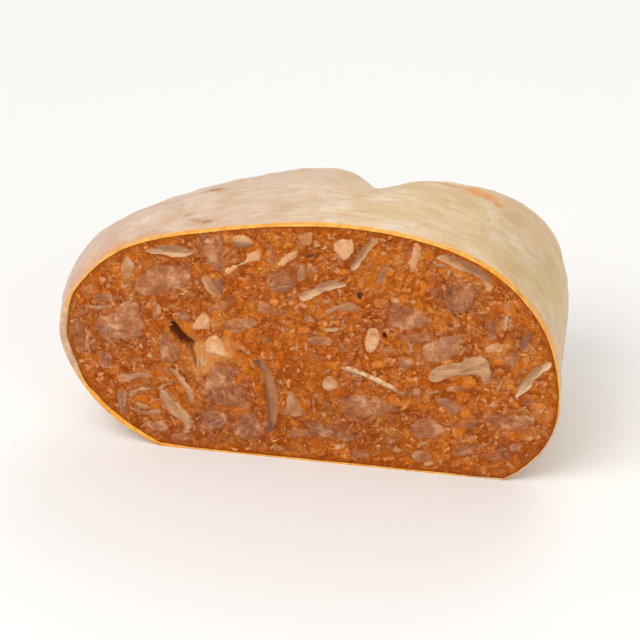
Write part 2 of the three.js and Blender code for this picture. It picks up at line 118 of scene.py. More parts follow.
# ---- What the knife met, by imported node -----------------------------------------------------

# For each piece its tone, from 0, pale, to 1, dark, then the side of a rind strip that is cream,
# seen towards +x (1 is left, -1 right), and the [x, z] knots of its outline at the cut.
CUT_PIECES = {
    "meat_01": (0.1, 0, [
        [-77, 70.5], [-76, 74], [-72.5, 77], [-69, 79.6], [-64, 80.6], [-59, 80], [-55.8, 79],
        [-55.3, 75.5], [-57, 72], [-60.5, 69.5], [-64.5, 69], [-68, 67.5], [-71.5, 65.8], [-75, 67]]),
    "meat_02": (0.05, 0, [
        [-92.5, 50], [-92, 54], [-88, 57], [-84.5, 58.5], [-83, 62], [-80, 64], [-76.8, 63.5],
        [-74.8, 60.5], [-74, 56], [-73.8, 51.5], [-75.5, 47.5], [-79, 45.5], [-83, 46], [-86, 44.5], [-90, 45.5]]),
    "meat_03": (0.55, 0, [
        [-53, 90], [-52, 94], [-47, 95.3], [-42.8, 95.6], [-42.2, 90], [-42.5, 84.5], [-43.2, 80.3],
        [-46, 80.5], [-48.8, 83], [-50.5, 87]]),
    "meat_04": (0.6, 0, [[-27, 93.8], [-24, 94], [-23.2, 90], [-23, 86], [-24.5, 84.6], [-26, 86.5], [-26.5, 90]]),
    "meat_05": (0.5, 0, [
        [-43, 55], [-41, 59.5], [-36.5, 61], [-32, 60.8], [-29.3, 59.2], [-31, 56.8], [-34, 54.8],
        [-38, 53.6], [-41.5, 53.4]]),
    "meat_06": (0.4, 0, [[-30.5, 66.5], [-28, 69], [-24, 67.5], [-19, 66.3], [-17.5, 64.5], [-21, 63], [-26, 62.8], [-30, 64]]),
    "meat_07": (0.35, 0, [
        [-25.5, 81], [-21, 82.3], [-17, 81.5], [-14.8, 78], [-16.5, 74.5], [-20, 73], [-24.5, 73.4], [-26.5, 76.5]]),
    "meat_08": (0.9, 0, [
        [39.6, 76], [41, 81], [44.5, 83.3], [49, 83.6], [52.6, 82], [53, 78.5], [51.6, 75], [50.6, 72.4],
        [46.5, 71], [42.5, 71], [40.2, 73]]),
    "meat_09": (0.15, 0, [
        [32.3, 52.5], [34, 57], [38, 59.7], [42, 61.7], [46, 62.7], [48.2, 60], [47.6, 56.3], [46, 53],
        [44, 51], [40, 49.4], [35.5, 48.6], [33, 50]]),
    "meat_10": (0.5, 0, [
        [20.5, 72.5], [25, 73.7], [30, 71.5], [34.5, 69], [37.5, 66.5], [34, 64], [30, 62.6], [26, 61.5],
        [22, 62], [19, 64.5], [20.2, 68.5]]),
    "meat_11": (0.5, 0, [
        [-67.5, 50.5], [-64.5, 51.3], [-63, 48.5], [-60.3, 45.5], [-59.4, 41.5], [-60.8, 38.2], [-64, 37.3],
        [-67.6, 38.5], [-68.2, 43], [-68, 47]]),
    "meat_12": (0.6, 0, [
        [-46.5, 38.2], [-42, 39.4], [-38.3, 38], [-37, 35], [-39.3, 32.2], [-36.5, 30.6], [-34, 28], [-34, 24],
        [-37, 21.3], [-42, 20.6], [-47, 22], [-50, 25], [-50.8, 30], [-49, 34.5]]),
    "meat_13": (0.65, 0, [[-53, 13], [-50, 17.5], [-45, 19], [-41.5, 16.5], [-42, 12], [-45, 9.5], [-50, 9.3]]),
    "meat_14": (0.6, 0, [
        [-39.5, 14], [-36, 18.5], [-31.5, 18], [-28.5, 14.5], [-29, 9.5], [-33, 6.8], [-38, 7.5], [-40.5, 10.5]]),
    "meat_15": (0.55, 0, [[-74.5, 10], [-70.5, 12], [-66.5, 11.3], [-64.5, 8.8], [-67, 6.3], [-71.5, 6], [-74, 7.8]]),
    "meat_16": (1.0, 0, [
        [-10.3, 14], [-8, 17.5], [-3.5, 18], [1.5, 16.6], [6.5, 15], [8.6, 12.4], [6, 10.2], [0, 10.8],
        [-5.5, 11], [-9.5, 11.3]]),
    "meat_17": (0.5, 0, [
        [0.5, 28.5], [4, 31], [10, 32], [16, 31.8], [21, 30.2], [22.5, 27], [18.5, 23.5], [12, 21.5],
        [6, 20.8], [2.5, 23.5]]),
    "meat_18": (0.25, 0, [
        [28, 18], [29.5, 22.5], [34, 24.4], [38, 23.7], [41.8, 21.3], [42.2, 18.2], [39, 15.9], [34, 14.9], [30, 15.5]]),
    "meat_19": (0.55, 0, [
        [56, 27.5], [60, 29.2], [66, 29.6], [71, 30.8], [75.3, 30.2], [75.8, 26.3], [72, 23.3], [67, 21.8],
        [62, 23.6], [58, 24.8]]),
    "meat_20": (0.5, 0, [[44.6, 9.6], [45.4, 12.6], [49, 14.6], [53.2, 14.4], [53.6, 12], [51, 9.2], [47, 8.2]]),
    "meat_21": (0.6, 0, [[57.6, 9], [58.4, 12], [62, 14.1], [66, 14], [66.6, 11.6], [64, 8.8], [60, 7.8]]),
    "meat_22": (0.5, 0, [[-101, 50], [-99.5, 54], [-97.3, 52], [-97, 46], [-96.5, 40], [-98.5, 37.8], [-100.8, 40], [-101.8, 45]]),
    "fat_01": (0.0, 0, [
        [-1.3, 95.3], [0.3, 97.6], [3, 98.5], [6.4, 98], [7, 95], [6.3, 92], [4.3, 89.9], [2.6, 88.9], [1, 91], [-0.5, 93]]),
    "fat_02": (0.08, 0, [
        [13.3, 62], [16.2, 61.3], [17, 57.5], [15.8, 53], [13.5, 50], [11.4, 51.3], [10.8, 55], [11.6, 59.3]]),
    "fat_03": (0.05, 0, [
        [-28.4, 92], [-27.8, 88.5], [-29, 86], [-33, 84.3], [-37, 82], [-40, 78.6], [-42, 79.5], [-41, 82.3],
        [-37.5, 84], [-34, 86], [-33.3, 88.8], [-30.6, 90.4]]),
    "fat_04": (0.25, 0, [
        [-14, 91.8], [-14.4, 89.3], [-17, 86.8], [-19.5, 84.6], [-22.2, 84.5], [-21.2, 87.2], [-18.6, 90.2], [-16, 91.6]]),
    "fat_05": (0.2, 0, [
        [-51, 62.8], [-48.6, 60.3], [-47.4, 57.5], [-48.4, 54.7], [-52, 53.4], [-55.3, 53.8], [-54.2, 57.2], [-52.2, 59.6]]),
    "fat_06": (0.1, 0, [
        [-48.7, 51.7], [-45, 52], [-43.2, 49], [-42, 45.6], [-39.8, 43.4], [-43, 42.6], [-46, 43.4], [-49.7, 44], [-50.2, 47.6]]),
    "fat_07": (0.35, 0, [
        [28.8, 99.6], [31.6, 98.8], [32.2, 95], [31.2, 91.5], [29.8, 88], [28, 85.8], [27.1, 88.5], [27.3, 92.5], [28.2, 95.8]]),
    "fat_08": (0.9, 0, [
        [-17.6, 30.8], [-15.4, 29.2], [-13.3, 25.5], [-12.1, 21.5], [-13.4, 19.3], [-17.5, 19], [-19.8, 20.4],
        [-19.5, 24], [-19, 27.6]]),
    "fat_09": (1.0, 0, [[29, 6.5], [31, 9.5], [34.5, 10.3], [37.5, 8], [37, 5], [33, 4]]),
    "fat_10": (0.4, 0, [[56.2, 57], [58.5, 59.6], [61.5, 60.4], [63.5, 58.6], [62.5, 56], [59.5, 55.6], [57, 55.3]]),
    "fat_11": (0.7, 0, [
        [-78.2, 83.2], [-76.4, 80.5], [-76.2, 77], [-78, 73.3], [-80.6, 72.2], [-82, 76], [-81.7, 79.6], [-80.3, 82.2]]),
    "fat_12": (0.6, 0, [[-14.5, 98], [-12, 99.6], [-9, 99.9], [-8.2, 97.5], [-9, 94.5], [-11.5, 93.6], [-13.5, 95.5]]),
    "fat_13": (0.5, 0, [[-4.3, 38.2], [-1.5, 38.8], [0.6, 37.1], [1, 34.5], [-1, 32.3], [-3, 31.5], [-5, 33], [-5.2, 36]]),
    "skin_01": (0.25, -1, [
        [-72.5, 86], [-68, 88.3], [-62, 89.9], [-57, 89.2], [-53.6, 86.9], [-56, 84.8], [-61, 84], [-66.5, 84.6], [-70.5, 84.6]]),
    "skin_02": (0.1, -1, [
        [-14.3, 72.3], [-13.2, 70.6], [-10.4, 70.8], [-6, 73.8], [-1, 76.4], [3.8, 78], [4.4, 79.9], [1, 81],
        [-4, 79.8], [-9, 76.6], [-12.6, 74.6]]),
    "skin_03": (0.3, -1, [
        [5.2, 85], [7.5, 85.3], [9.5, 88.5], [11.5, 92], [14, 95.5], [16, 98.8], [14.2, 100.2], [11.5, 97.8],
        [9, 94.5], [7.2, 90.5], [5.4, 87.3]]),
    "skin_04": (0.7, 0, [[14.6, 80.3], [16.6, 80.2], [18.4, 83.5], [20.3, 88], [20, 90], [18, 88.5], [16, 85]]),
    "skin_05": (0.4, -1, [
        [36.5, 93.8], [39, 95.7], [43, 95.6], [47.5, 94.2], [52, 92.2], [56, 89.3], [58.3, 86], [58.4, 82.8],
        [56.6, 81.8], [55, 83.6], [54.6, 86], [52, 87.7], [48, 88.8], [44, 90], [40.5, 92]]),
    "skin_06": (0.5, 0, [
        [-5, 65], [-3.2, 67.6], [0.5, 70.2], [4.5, 72], [8, 71.2], [8.5, 69], [6, 67.7], [2, 68], [-1, 66.2]]),
    "skin_07": (0.9, 1, [
        [-31.5, 43.5], [-28.5, 44.2], [-26, 41], [-23.4, 36], [-21.9, 29], [-21.8, 22], [-22.4, 15.5], [-25, 11.4],
        [-27.2, 12.5], [-26.2, 18], [-26.8, 25], [-27.4, 31], [-27.6, 36], [-29.5, 39.5]]),
    "skin_08": (0.3, 0, [
        [-68.2, 25.7], [-65.3, 25.3], [-63.3, 21.7], [-60, 19.7], [-57.4, 16.6], [-55.6, 13], [-56, 9.5],
        [-58, 7.8], [-59.3, 11], [-61.2, 13.4], [-64.7, 15.3], [-66.3, 19], [-68.4, 22.5]]),
    "skin_09": (0.4, 0, [[-80.5, 22], [-77.5, 24.2], [-73.5, 26.3], [-69.3, 26.7], [-68.8, 25.4], [-72.5, 24.6], [-76.5, 22.8], [-79.8, 20.8]]),
    "skin_10": (0.4, 0, [[-79.5, 17], [-76, 15.2], [-71.5, 15.2], [-68, 16.6], [-67.6, 15.2], [-71, 13.6], [-76, 13.8], [-80.5, 15.6]]),
    "skin_11": (0.4, 0, [[-83.5, 30.4], [-80, 31], [-75, 32.2], [-70.5, 31.6], [-70.8, 30.2], [-75, 30.3], [-79, 28.6], [-82.6, 28]]),
    "skin_12": (0.45, 1, [
        [-63.3, 36], [-60.5, 34.8], [-57.5, 30.5], [-55, 26], [-54.6, 21], [-56.3, 19.6], [-57.5, 23.5], [-59.5, 28],
        [-62.3, 32.4], [-64.6, 34.3]]),
    "skin_13": (0.15, 1, [
        [1.8, 42.8], [4.5, 44.3], [9, 43.2], [14, 41], [19.5, 38.6], [24.5, 36.2], [27, 34], [25.2, 33.3],
        [20.5, 35.3], [15, 37.8], [9.5, 40.2], [5, 41]]),
    "skin_14": (0.3, 0, [
        [35, 41.5], [36, 45.3], [39, 48.3], [44, 49.7], [48.5, 51.5], [52, 53.5], [55.6, 53.9], [57.7, 52],
        [59, 48.5], [58.7, 44.5], [57, 41.2], [55.4, 42.5], [54.4, 44.9], [50, 45.1], [45, 43.7], [41, 42], [38, 40.2]]),
    "skin_15": (0.0, -1, [
        [68, 36.8], [68.8, 41.5], [70.8, 45.7], [73.8, 49.8], [77.3, 52.8], [81, 54.3], [80.8, 51.5], [77.6, 48.3],
        [75.2, 45.3], [73.6, 41.8], [71, 39.2]]),
    "skin_16": (1.0, 0, [[68.8, 57.5], [71, 57.8], [72.5, 61], [73.2, 65], [71.6, 66.2], [69.6, 63.5]]),
    "skin_17": (0.75, 0, [[37.8, 33.5], [41, 34.3], [45, 33.8], [47.8, 31], [47.2, 27.8], [44, 26.7], [42.3, 29.5], [39.3, 31]]),
    "skin_18": (0.75, 0, [[-84.8, 24], [-82.6, 23.8], [-81.6, 19], [-80.4, 14], [-82, 12.6], [-84, 14.5], [-85, 19]]),
    "skin_19": (0.5, -1, [
        [-49.3, 77.7], [-46, 76.2], [-43.4, 77.8], [-42.8, 73], [-44, 69.3], [-46.6, 68.6], [-49.7, 72], [-51.2, 76]]),
    "skin_20": (0.45, 1, [[-38.8, 95.3], [-34.5, 96.3], [-31.2, 94.6], [-30.8, 91.8], [-34, 90.7], [-37.7, 90.7], [-39.5, 93]]),
    "skin_21": (0.55, 0, [[-14.5, 79], [-12.5, 78.6], [-11, 82], [-11.4, 85.4], [-13.4, 85.8], [-14.6, 82.5]]),
}

# Scraps too small for solids of their own: [x, z, length, width, turn, bend, tone].
MEAT_SCRAPS = [
    [-88.4, 64, 7.8, 5, 12, 0, 0.8], [-68.6, 59.5, 8.4, 4, 86, 0, 0.6], [30.5, 58.8, 14, 4.6, 6, 0, 0.65],
    [58.3, 67.5, 5, 5, 0, 0, 0.6], [59, 62.6, 5, 4, 0, 0, 0.7], [50.5, 23, 7, 5, 10, 0, 0.55],
    [31.3, 35, 4.4, 4.5, 0, 0, 0.6], [53.5, 63.8, 6, 2.4, -55, 0, 0.7], [-26.5, 52.5, 5.4, 4, 0, 0, 0.6],
    [-7.5, 46.5, 6, 4, -20, 0, 0.4], [12, 87, 4, 2.5, 60, 0, 0.7], [-3, 71.5, 5, 2.5, 20, 0, 0.3],
    [-9.5, 63, 5, 2.6, 0, 0, 0.9], [26.5, 48, 7, 6, 20, 0, 0.35], [20, 52.5, 4.5, 4, 0, 0, 0.5],
    [-77.5, 38.5, 4, 3.5, 90, 0, 0.6], [-70, 35.5, 2.8, 2.6, 0, 0, 0.4], [-36, 42, 3.6, 2.6, 80, 0, 0.3],
    [-94.8, 66.5, 7, 2.8, 60, 0, 0.6], [-89.2, 36.4, 8.6, 6.4, 80, 0, 0.45], [-6, 53.8, 10, 4.6, 5, 0, 0.5],
    [-57, 80.6, 6, 3, 20, 0, 0.5], [66, 54, 8, 5, 60, 0, 0.5],
    [-14, 12, 8, 4.5, 10, 0, 0.5], [22, 14, 7, 4, 20, 0, 0.6], [-40.5, 67.5, 6, 4.6, 60, 0, 0.55],
    [-8.8, 84.6, 5, 4.4, 0, 0, 0.6], [47, 38.5, 9, 3.6, 8, 0, 0.5], [-58, 58.5, 7, 4, -40, 0, 0.6],
    [73, 36, 5, 3.6, 30, 0, 0.6], [3, 52, 6, 4, 60, 0, 0.5], [-96, 57, 5, 3.4, 70, 0, 0.5],
    [-3.5, 24.5, 6, 4, 80, 0, 0.6], [69, 15.5, 7, 4, 40, 0, 0.5], [8, 40, 9, 2.4, -16, 0, 0.8],
    [69.6, 47.6, 7, 2.4, 52, 0, 0.8], [37, 79, 6, 3, 60, 0, 0.5], [64, 76, 5, 3, -40, 0, 0.6],
    [-60, 5, 9, 4, 0, 0, 0.5], [10, 5, 8, 4, 10, 0, 0.5], [-20, 4.4, 8, 3.4, 0, 0, 0.6],
    [-46, 63.5, 6, 3.4, 30, 0, 0.6], [10, 60, 4, 3, 20, 0, 0.6], [-19, 57, 5, 3, -30, 0, 0.55],
]
FAT_SCRAPS = [
    [-88.8, 72, 3.4, 3, 0, 0, 0.4], [-12.5, 68.8, 4, 2.5, -10, 0, 0.3], [22.5, 74.5, 4, 2.6, 0, 0, 0.4],
    [29, 74.5, 3, 2.4, 0, 0, 0.5], [40.5, 82, 3, 2, 90, 0, 0.2], [-71.5, 40.5, 2.6, 2.5, 0, 0, 0.3],
    [-81, 28.5, 3.6, 3, 0, 0, 0.4], [30.5, 41, 2.6, 2.5, 0, 0, 0.3], [-47.3, 92.4, 5, 2.8, 10, 0, 0.4],
    [-80.5, 69.8, 2.8, 2.4, 0, 0, 0.6], [-32.8, 78, 3.4, 2.8, 60, 0, 0.6], [-34.5, 46.4, 4.6, 2.2, -30, 0, 0.5],
    [60.4, 33.6, 4.4, 2.6, 40, 0, 0.4], [66.8, 36, 3.4, 2.2, 0, 0, 0.5],
    [2, 8, 5, 3, 15, 0, 0.4], [24, 9, 4, 2.6, -20, 0, 0.4], [-58, 8, 4, 2, 10, 0, 0.4], [17.4, 94, 2.6, 1.8, 0, 0, 0.5],
    [74, 20, 4, 2.4, 50, 0, 0.4], [-50.8, 46.8, 3, 1.6, 40, 0, 0.2], [36, 4.4, 5, 2.8, 15, 0, 0.4], [46, 87, 3, 2, 0, 0, 0.5],
    [-91, 30, 3.4, 2.2, 30, 0, 0.5], [-22, 96.6, 4, 1.8, 8, 0, 0.5], [70, 26, 2.6, 2, 0, 0, 0.4], [6.6, 58, 2.4, 2, 0, 0, 0.5],
]
RIND_CURLS = [
    [23.8, 89.5, 12, 1.2, 86, 4, 0.5], [63.6, 69, 8.5, 2, 84, 0, 0.2], [9.9, 81, 4.6, 1.2, 90, 0, 0.4],
    [-14.5, 50.5, 4.2, 1.7, 86, 0, 0.3], [-11, 50.5, 4.2, 1.7, 94, 0, 0.3], [62, 41.4, 8, 1.5, 66, 18, 0.3],
    [37.7, 36.2, 7, 1.3, 23, 0, 0.3], [70.3, 32.6, 6.4, 1.3, 28, 0, 0.3], [78.4, 33, 6.2, 1.5, 52, 0, 0.2],
    [-2.8, 41.2, 5.6, 1.2, 38, 0, 0.4], [-94.8, 67.6, 7, 1.3, 50, 0, 0.4], [-90, 59.6, 10, 1.8, 11, 6, 0.3],
    [-39.3, 87.8, 7, 1.2, 50, 0, 0.4], [-8.3, 25.5, 10, 1.3, 92, 0, 0.5], [28, 56, 7.4, 1.7, -80, 24, 0.1],
    [-1, 59.2, 8, 1.8, 8, 18, 0.2], [3, 62.6, 3.6, 1.3, 100, 0, 0.3], [39.4, 91, 5, 1.2, 0, -40, 0.3],
    [36.8, 88.2, 4.6, 1.2, 88, 20, 0.3], [41.8, 87.6, 4.6, 1.2, 70, -20, 0.3], [-24.4, 78.5, 6, 1.1, 88, 12, 0.4],
    [-19.6, 76, 6, 1.2, 12, 40, 0.35], [-20.4, 80.4, 5, 1.0, -10, -20, 0.5], [-95.6, 45, 14, 1.7, 94, -6, 0.2],
    [-52.6, 40, 9, 1.3, 84, 6, 0.2], [-51.2, 41, 9, 1.4, 92, 0, 0.0], [-49.7, 39.6, 8, 1.1, 80, 8, 0.3],
    [-47, 42.5, 5, 1, 60, 0, 0.4], [-82, 19.8, 9, 2, 84, 10, 0.3], [-75.6, 17.6, 8, 1.8, -18, 30, 0.3],
    [-76.3, 24.6, 8.5, 1.7, 24, 8, 0.2], [-66.2, 27.4, 6, 1.9, 30, 0, 0.2], [-63.4, 29.6, 4.4, 1.6, 72, 0, 0.3],
    [-70.2, 15.6, 5.4, 1.8, 14, 10, 0.3], [-31.6, 40.6, 8, 1.2, -60, -10, 0.4], [-60.8, 62.5, 6, 1.4, -28, 10, 0.5],
    [34, 13, 5.5, 1.4, 25, 0, 0.4], [44.5, 22.4, 5, 1, 85, 0, 0.5], [-86.5, 48.5, 7, 1.1, 100, 10, 0.4],
    [-84, 41, 6, 1.3, 60, 20, 0.5], [54, 34.5, 8, 1.2, 70, 0, 0.5], [66.5, 50, 5, 1.2, 60, 0, 0.5],
    [15, 70, 5, 1.1, -30, 10, 0.5], [5, 47.6, 5, 1.1, 10, 0, 0.5], [55, 72.6, 6, 1.2, 20, 10, 0.5],
    [-100.2, 60, 6, 1.3, 74, -6, 0.5], [-34, 70, 6, 1.1, -16, 0, 0.5], [16, 12, 8, 1.4, 30, 20, 0.4],
]
# Lumps of paprika fat, brighter than the paste.
PAPRIKA_LUMPS = [
    [-23.5, 68.8, 4, 2.5, 0, 0, 0.7], [-22, 41, 4, 3, 80, 0, 0.4], [50.5, 41.3, 6, 3.8, 10, 0, 0.5],
    [-37, 33.5, 7, 2.4, 60, 0, 0.3], [50, 28, 5, 4, 0, 0, 0.5], [67.5, 35, 3, 3, 0, 0, 0.5],
    [32.5, 80.5, 7, 2.5, 88, 0, 0.5], [-34, 76.6, 4, 3, 80, 0, 0.4], [39.4, 88.4, 3.4, 3, 0, 0, 0.4],
    [-75, 20.6, 6, 4, 0, 0, 0.3], [-41, 53, 4, 3, 0, 0, 0.5], [16, 46, 5, 3, 20, 0, 0.6], [-60, 27, 5, 2.6, -50, 0, 0.4],
    [-30, 30, 4, 2.4, 70, 0, 0.3], [3, 84, 4, 2.6, 30, 0, 0.5], [56, 47, 3, 2, 0, 0, 0.5], [-83, 77, 4, 2.4, 50, 0, 0.5],
    [24, 30, 5, 3, 0, 0, 0.5], [66, 42, 4, 2.6, 60, 0, 0.6], [-12, 58, 5, 2.8, 10, 0, 0.5], [-68, 33, 4, 2.4, 30, 0, 0.3],
    [0, 62.4, 4, 2, 0, 0, 0.6], [62, 52, 4, 2.4, 20, 0, 0.5], [-97, 62, 4, 2, 60, 0, 0.4], [-16, 16, 4, 3, 0, 0, 0.4],
]
# Clots and bits of crushed pepper large enough to be seen one by one, and one dark line of painted shadow under the
# lower edge of meat_08.
DARK_CLOTS_AND_SHADOW = [
    [9, 75, 4, 2.6, 82, 0, 0.6], [-9.8, 90, 3.6, 2, 12, 0, 0.3], [52, 57.5, 1.8, 1.1, 20, 0, 0.5],
    [62.5, 45.5, 2.6, 0.9, 12, 0, 0.6], [50, 80, 1.8, 1.2, 0, 0, 0.9],
    # the first row is painted shadow under the lower edge of meat_08
    [46.6, 71.2, 7.4, 1.1, 14, 10, 0.8], [-29.2, 22, 7, 0.8, 88, 0, 0.4], [-60.2, 31, 6, 0.8, -64, 0, 0.4],
]

# Broad areas where one part of the mix shows more: [x, z, length, width, turn, strength]. The last row of "shade" is
# painted shadow, a wide darkening low in the middle of the face; its other rows are darker paste.
BROAD_AREAS = {
    "lean": [
        [-98, 48, 12, 34, 10, 0.7], [-84, 54, 30, 24, 30, 0.6], [-66, 74, 34, 20, 12, 0.6], [-64, 42, 14, 20, 0, 0.5],
        [-42, 28, 26, 28, 0, 1.0], [-46, 13, 30, 18, 5, 1.0], [-32, 12, 18, 18, 0, 0.9], [-76, 17, 26, 28, 0, 0.5],
        [26, 65, 28, 20, 0, 0.6], [43, 57, 34, 20, 15, 0.6], [47, 78, 26, 22, 0, 0.8], [12, 26, 34, 18, 8, 0.6],
        [66, 26, 32, 16, 5, 0.7], [72, 61, 12, 18, 0, 0.6], [36, 19, 24, 14, 0, 0.5], [-20, 77, 24, 18, 0, 0.4],
        [-48, 89, 20, 20, -20, 0.6], [-2, 14, 34, 12, 5, 0.7], [62, 12, 28, 16, 0, 0.5], [-24, 59, 28, 14, 0, 0.35],
        [62, 44, 16, 20, 0, 0.4], [-60, 5, 24, 10, 0, 0.5], [-90, 60, 14, 12, 0, 0.5], [8, 40, 22, 8, -15, 0.4],
    ],
    "orange": [
        [-28, 50, 40, 30, 0, 0.8], [-8, 47, 50, 22, 0, 0.8], [4, 70, 44, 18, 0, 0.5], [31, 83, 26, 18, 0, 0.7],
        [-36, 74, 24, 20, 0, 0.6], [-33, 31, 8, 20, 0, 1.0], [60, 34, 34, 12, 0, 0.6], [50, 26, 20, 12, 0, 0.6],
        [26, 42, 30, 18, 0, 0.6], [68, 78, 20, 22, -40, 0.5], [-90, 74, 18, 20, 40, 0.6], [-66, 61, 20, 12, 0, 0.4],
        [-84, 33, 26, 12, 0, 0.4], [-26, 88, 20, 14, 0, 0.7], [76, 42, 14, 20, 0, 0.6], [-36, 90, 16, 12, 0, 0.7],
        [-10, 96, 30, 10, 0, 0.4], [4, 4, 30, 10, 0, 0.5],
    ],
    "shade": [
        [-12, 36, 34, 18, -10, 0.7], [-12, 22, 24, 24, 0, 0.6], [20, 12, 26, 14, 20, 0.8], [-18, 8, 20, 18, 0, 0.5],
        [20, 100, 60, 8, -8, 0.6], [30, 29, 24, 14, 0, 0.5], [-8, 90, 20, 8, 0, 0.5], [-42, 7, 26, 10, 10, 0.7],
        [-86, 84, 24, 6, 40, 0.5], [44, 4, 40, 12, 0, 0.5], [50, 74, 12, 10, 0, 0.5], [0, 22, 18, 22, 0, 0.4],
        # painted shadow across the lower middle of the face
        [-36, 23, 66, 20, 0, 0.6],
    ],
    "peach": [
        [-51, 42, 13, 18, -10, 1.2], [-45, 46, 16, 12, 0, 1.0], [-74, 30, 26, 12, 0, 0.4], [-92, 66, 16, 16, 0, 0.4],
        [-40, 82, 10, 8, 40, 0.5], [28, 91, 12, 18, 0, 0.35], [62, 68, 8, 18, 0, 0.4], [60, 57, 12, 10, 0, 0.5],
        [78, 33, 10, 18, 50, 0.5], [-86, 80, 12, 8, 40, 0.4], [-70, 22, 26, 18, 0, 0.35], [48, 88, 22, 8, -20, 0.4],
    ],
}

# Holes where the filling did not close, as a depth and knots.
HOLES = [
    (2.8, [[-63.4, 56.2], [-61.4, 56.4], [-58.6, 52.6], [-56, 49.8], [-53.8, 48], [-54.6, 46], [-57.6, 46.2],
           [-60.4, 47.2], [-62.6, 49.8], [-64, 53]]),
    (1.8, [[-57, 47], [-54.8, 47.2], [-53.8, 43.5], [-52.6, 40], [-52.4, 36.6], [-54.2, 36.8], [-55.4, 40.6], [-56.4, 44]]),
    (2.8, [[17, 57.4], [17.4, 60], [19, 59.8], [19.9, 57.4], [18.6, 56.4]]),
]


# ---- Working out shapes ---------------------------------------------------------------------

def lumps(points, size, octaves=2, seed=0):
    """Smooth noise of about -1 to 1 at points in mm. Size is the width of a lump."""
    shift = Vector((seed * 17.3, seed * 5.1, seed * 9.7))
    return np.array([noise.fractal(Vector(p) / size + shift, 1.0, 2.1, octaves) for p in points])


def eased(values, low, high):
    """0 below low, 1 above high and smooth between."""
    t = np.clip((values - low) / (high - low), 0, 1)
    return t * t * (3 - 2 * t)


def around(knots, turns):
    """A smooth closed curve through the knots, read at turns from 0 to 1."""
    count = len(knots)
    at = np.asarray(turns) % 1 * count
    i = at.astype(int)
    f = (at - i)[..., None]
    a, b, c, d = (knots[(i + k) % count] for k in (-1, 0, 1, 2))
    return 0.5 * (2 * b + (c - a) * f + (2 * a - 5 * b + 4 * c - d) * f**2 + (3 * b - a - 3 * c + d) * f**3)


def along_stations(stations, x):
    """A smooth curve through [x, value] stations, read at x."""
    at, value = stations.T
    x = np.clip(x, at[0], at[-1])
    i = np.clip(np.searchsorted(at, x) - 1, 0, len(at) - 2)
    before = np.maximum(np.arange(len(at)) - 1, 0)
    after = np.minimum(np.arange(len(at)) + 1, len(at) - 1)
    slope = (value[after] - value[before]) / (at[after] - at[before])
    span = at[i + 1] - at[i]
    t = (x - at[i]) / span
    rise = (3 - 2 * t) * t * t
    bow = t * (1 - t) * span * ((1 - t) * slope[i] - t * slope[i + 1])
    return (1 - rise) * value[i] + rise * value[i + 1] + bow


def crease_share(x):
    """How much of the crease is felt at x: 1 at its bottom."""
    width = np.where(x < CREASE_X, CREASE_LEFT_WIDTH, CREASE_RIGHT_WIDTH)
    return np.exp(-((np.sqrt((x - CREASE_X) ** 2 + 1) / width) ** CREASE_POWER))


def outside(turns, back, deeper=1.0):
    """Points on the outside of the body, for turns round the rim and back from 0 to 1."""
    rim = around(CUT_RIM, turns)
    turn = math.pi / 2 * (1 - (1 - back) ** STEP_POWER)
    closing = np.maximum(np.cos(turn), 0)
    going = np.sin(turn)
    across, up = rim[..., 0] - CUT_CENTRE[0], rim[..., 1] - CUT_CENTRE[1]
    swell = 1 + np.where(across > 0, RIGHT_SWELL, LEFT_SWELL) * np.sin(2 * turn)
    x = CUT_CENTRE[0] + REAR_SHIFT * going**2 + across * closing**SIDE_POWER * swell
    z = CUT_CENTRE[1] + up * closing ** np.where(up > 0, TOP_POWER, UNDER_POWER)
    fade = eased(z, 0, CREASE_FULL_HEIGHT)
    crease = CREASE_DEPTH * crease_share(x) * (CREASE_LOW_SHARE + (1 - CREASE_LOW_SHARE) * fade)
    lean = 1 + DEPTH_LEAN * (z - MID_HEIGHT) / MID_HEIGHT
    y = (along_stations(BODY_DEPTH, x) * lean - crease * deeper) * going**REAR_POWER
    return np.stack([x, y, np.maximum(z, 0)], -1)


WALL_LOW = np.array(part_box("stomach_wall")[0]) / MM
CUT_TO_FRAME = np.array([
    WALL_LOW[0] - outside(*np.meshgrid(np.arange(72) / 72, np.arange(17) / 17))[..., 0].min(),
    WALL_LOW[1],
    0,
])


def placed(points):
    """Points of the cut's frame in mm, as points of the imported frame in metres."""
    return (np.asarray(points) + CUT_TO_FRAME) * MM


def inward(grid):
    """Unit vectors into the body at each point of a grid of rings, which run round the body."""
    ahead = np.roll(grid, -1, 1) - np.roll(grid, 1, 1)
    behind = np.gradient(grid, axis=0)
    normal = np.cross(ahead, behind)
    return normal / np.maximum(np.linalg.norm(normal, axis=-1, keepdims=True), 1e-9)


def upright(points, y=0):
    """Points [x, z] of the cut with their depth."""
    return np.stack([points[:, 0], np.broadcast_to(y, len(points)), points[:, 1]], -1)


def slanted_edge(turns):
    """Where the wall's edge is cut at a slant and looks beige: 1 in the middle of that stretch."""
    x, z = around(CUT_RIM, turns).T
    return eased(-x, 86, 98) * eased(z, 22, 34) * (1 - eased(z, 52, 66))


def edge_width(turns):
    """Width of the wall's cut edge round the rim."""
    x, z = around(CUT_RIM, turns).T
    folded = eased(-x, 50, 85) * (1 - eased(z, 18, 30))
    width = EDGE_WIDTH + (LEFT_EDGE_WIDTH - EDGE_WIDTH) * slanted_edge(turns) + (FOLD_EDGE_WIDTH - EDGE_WIDTH) * folded
    return width + 0.2 * lumps(upright(around(CUT_RIM, turns)), 9, 2, 3)


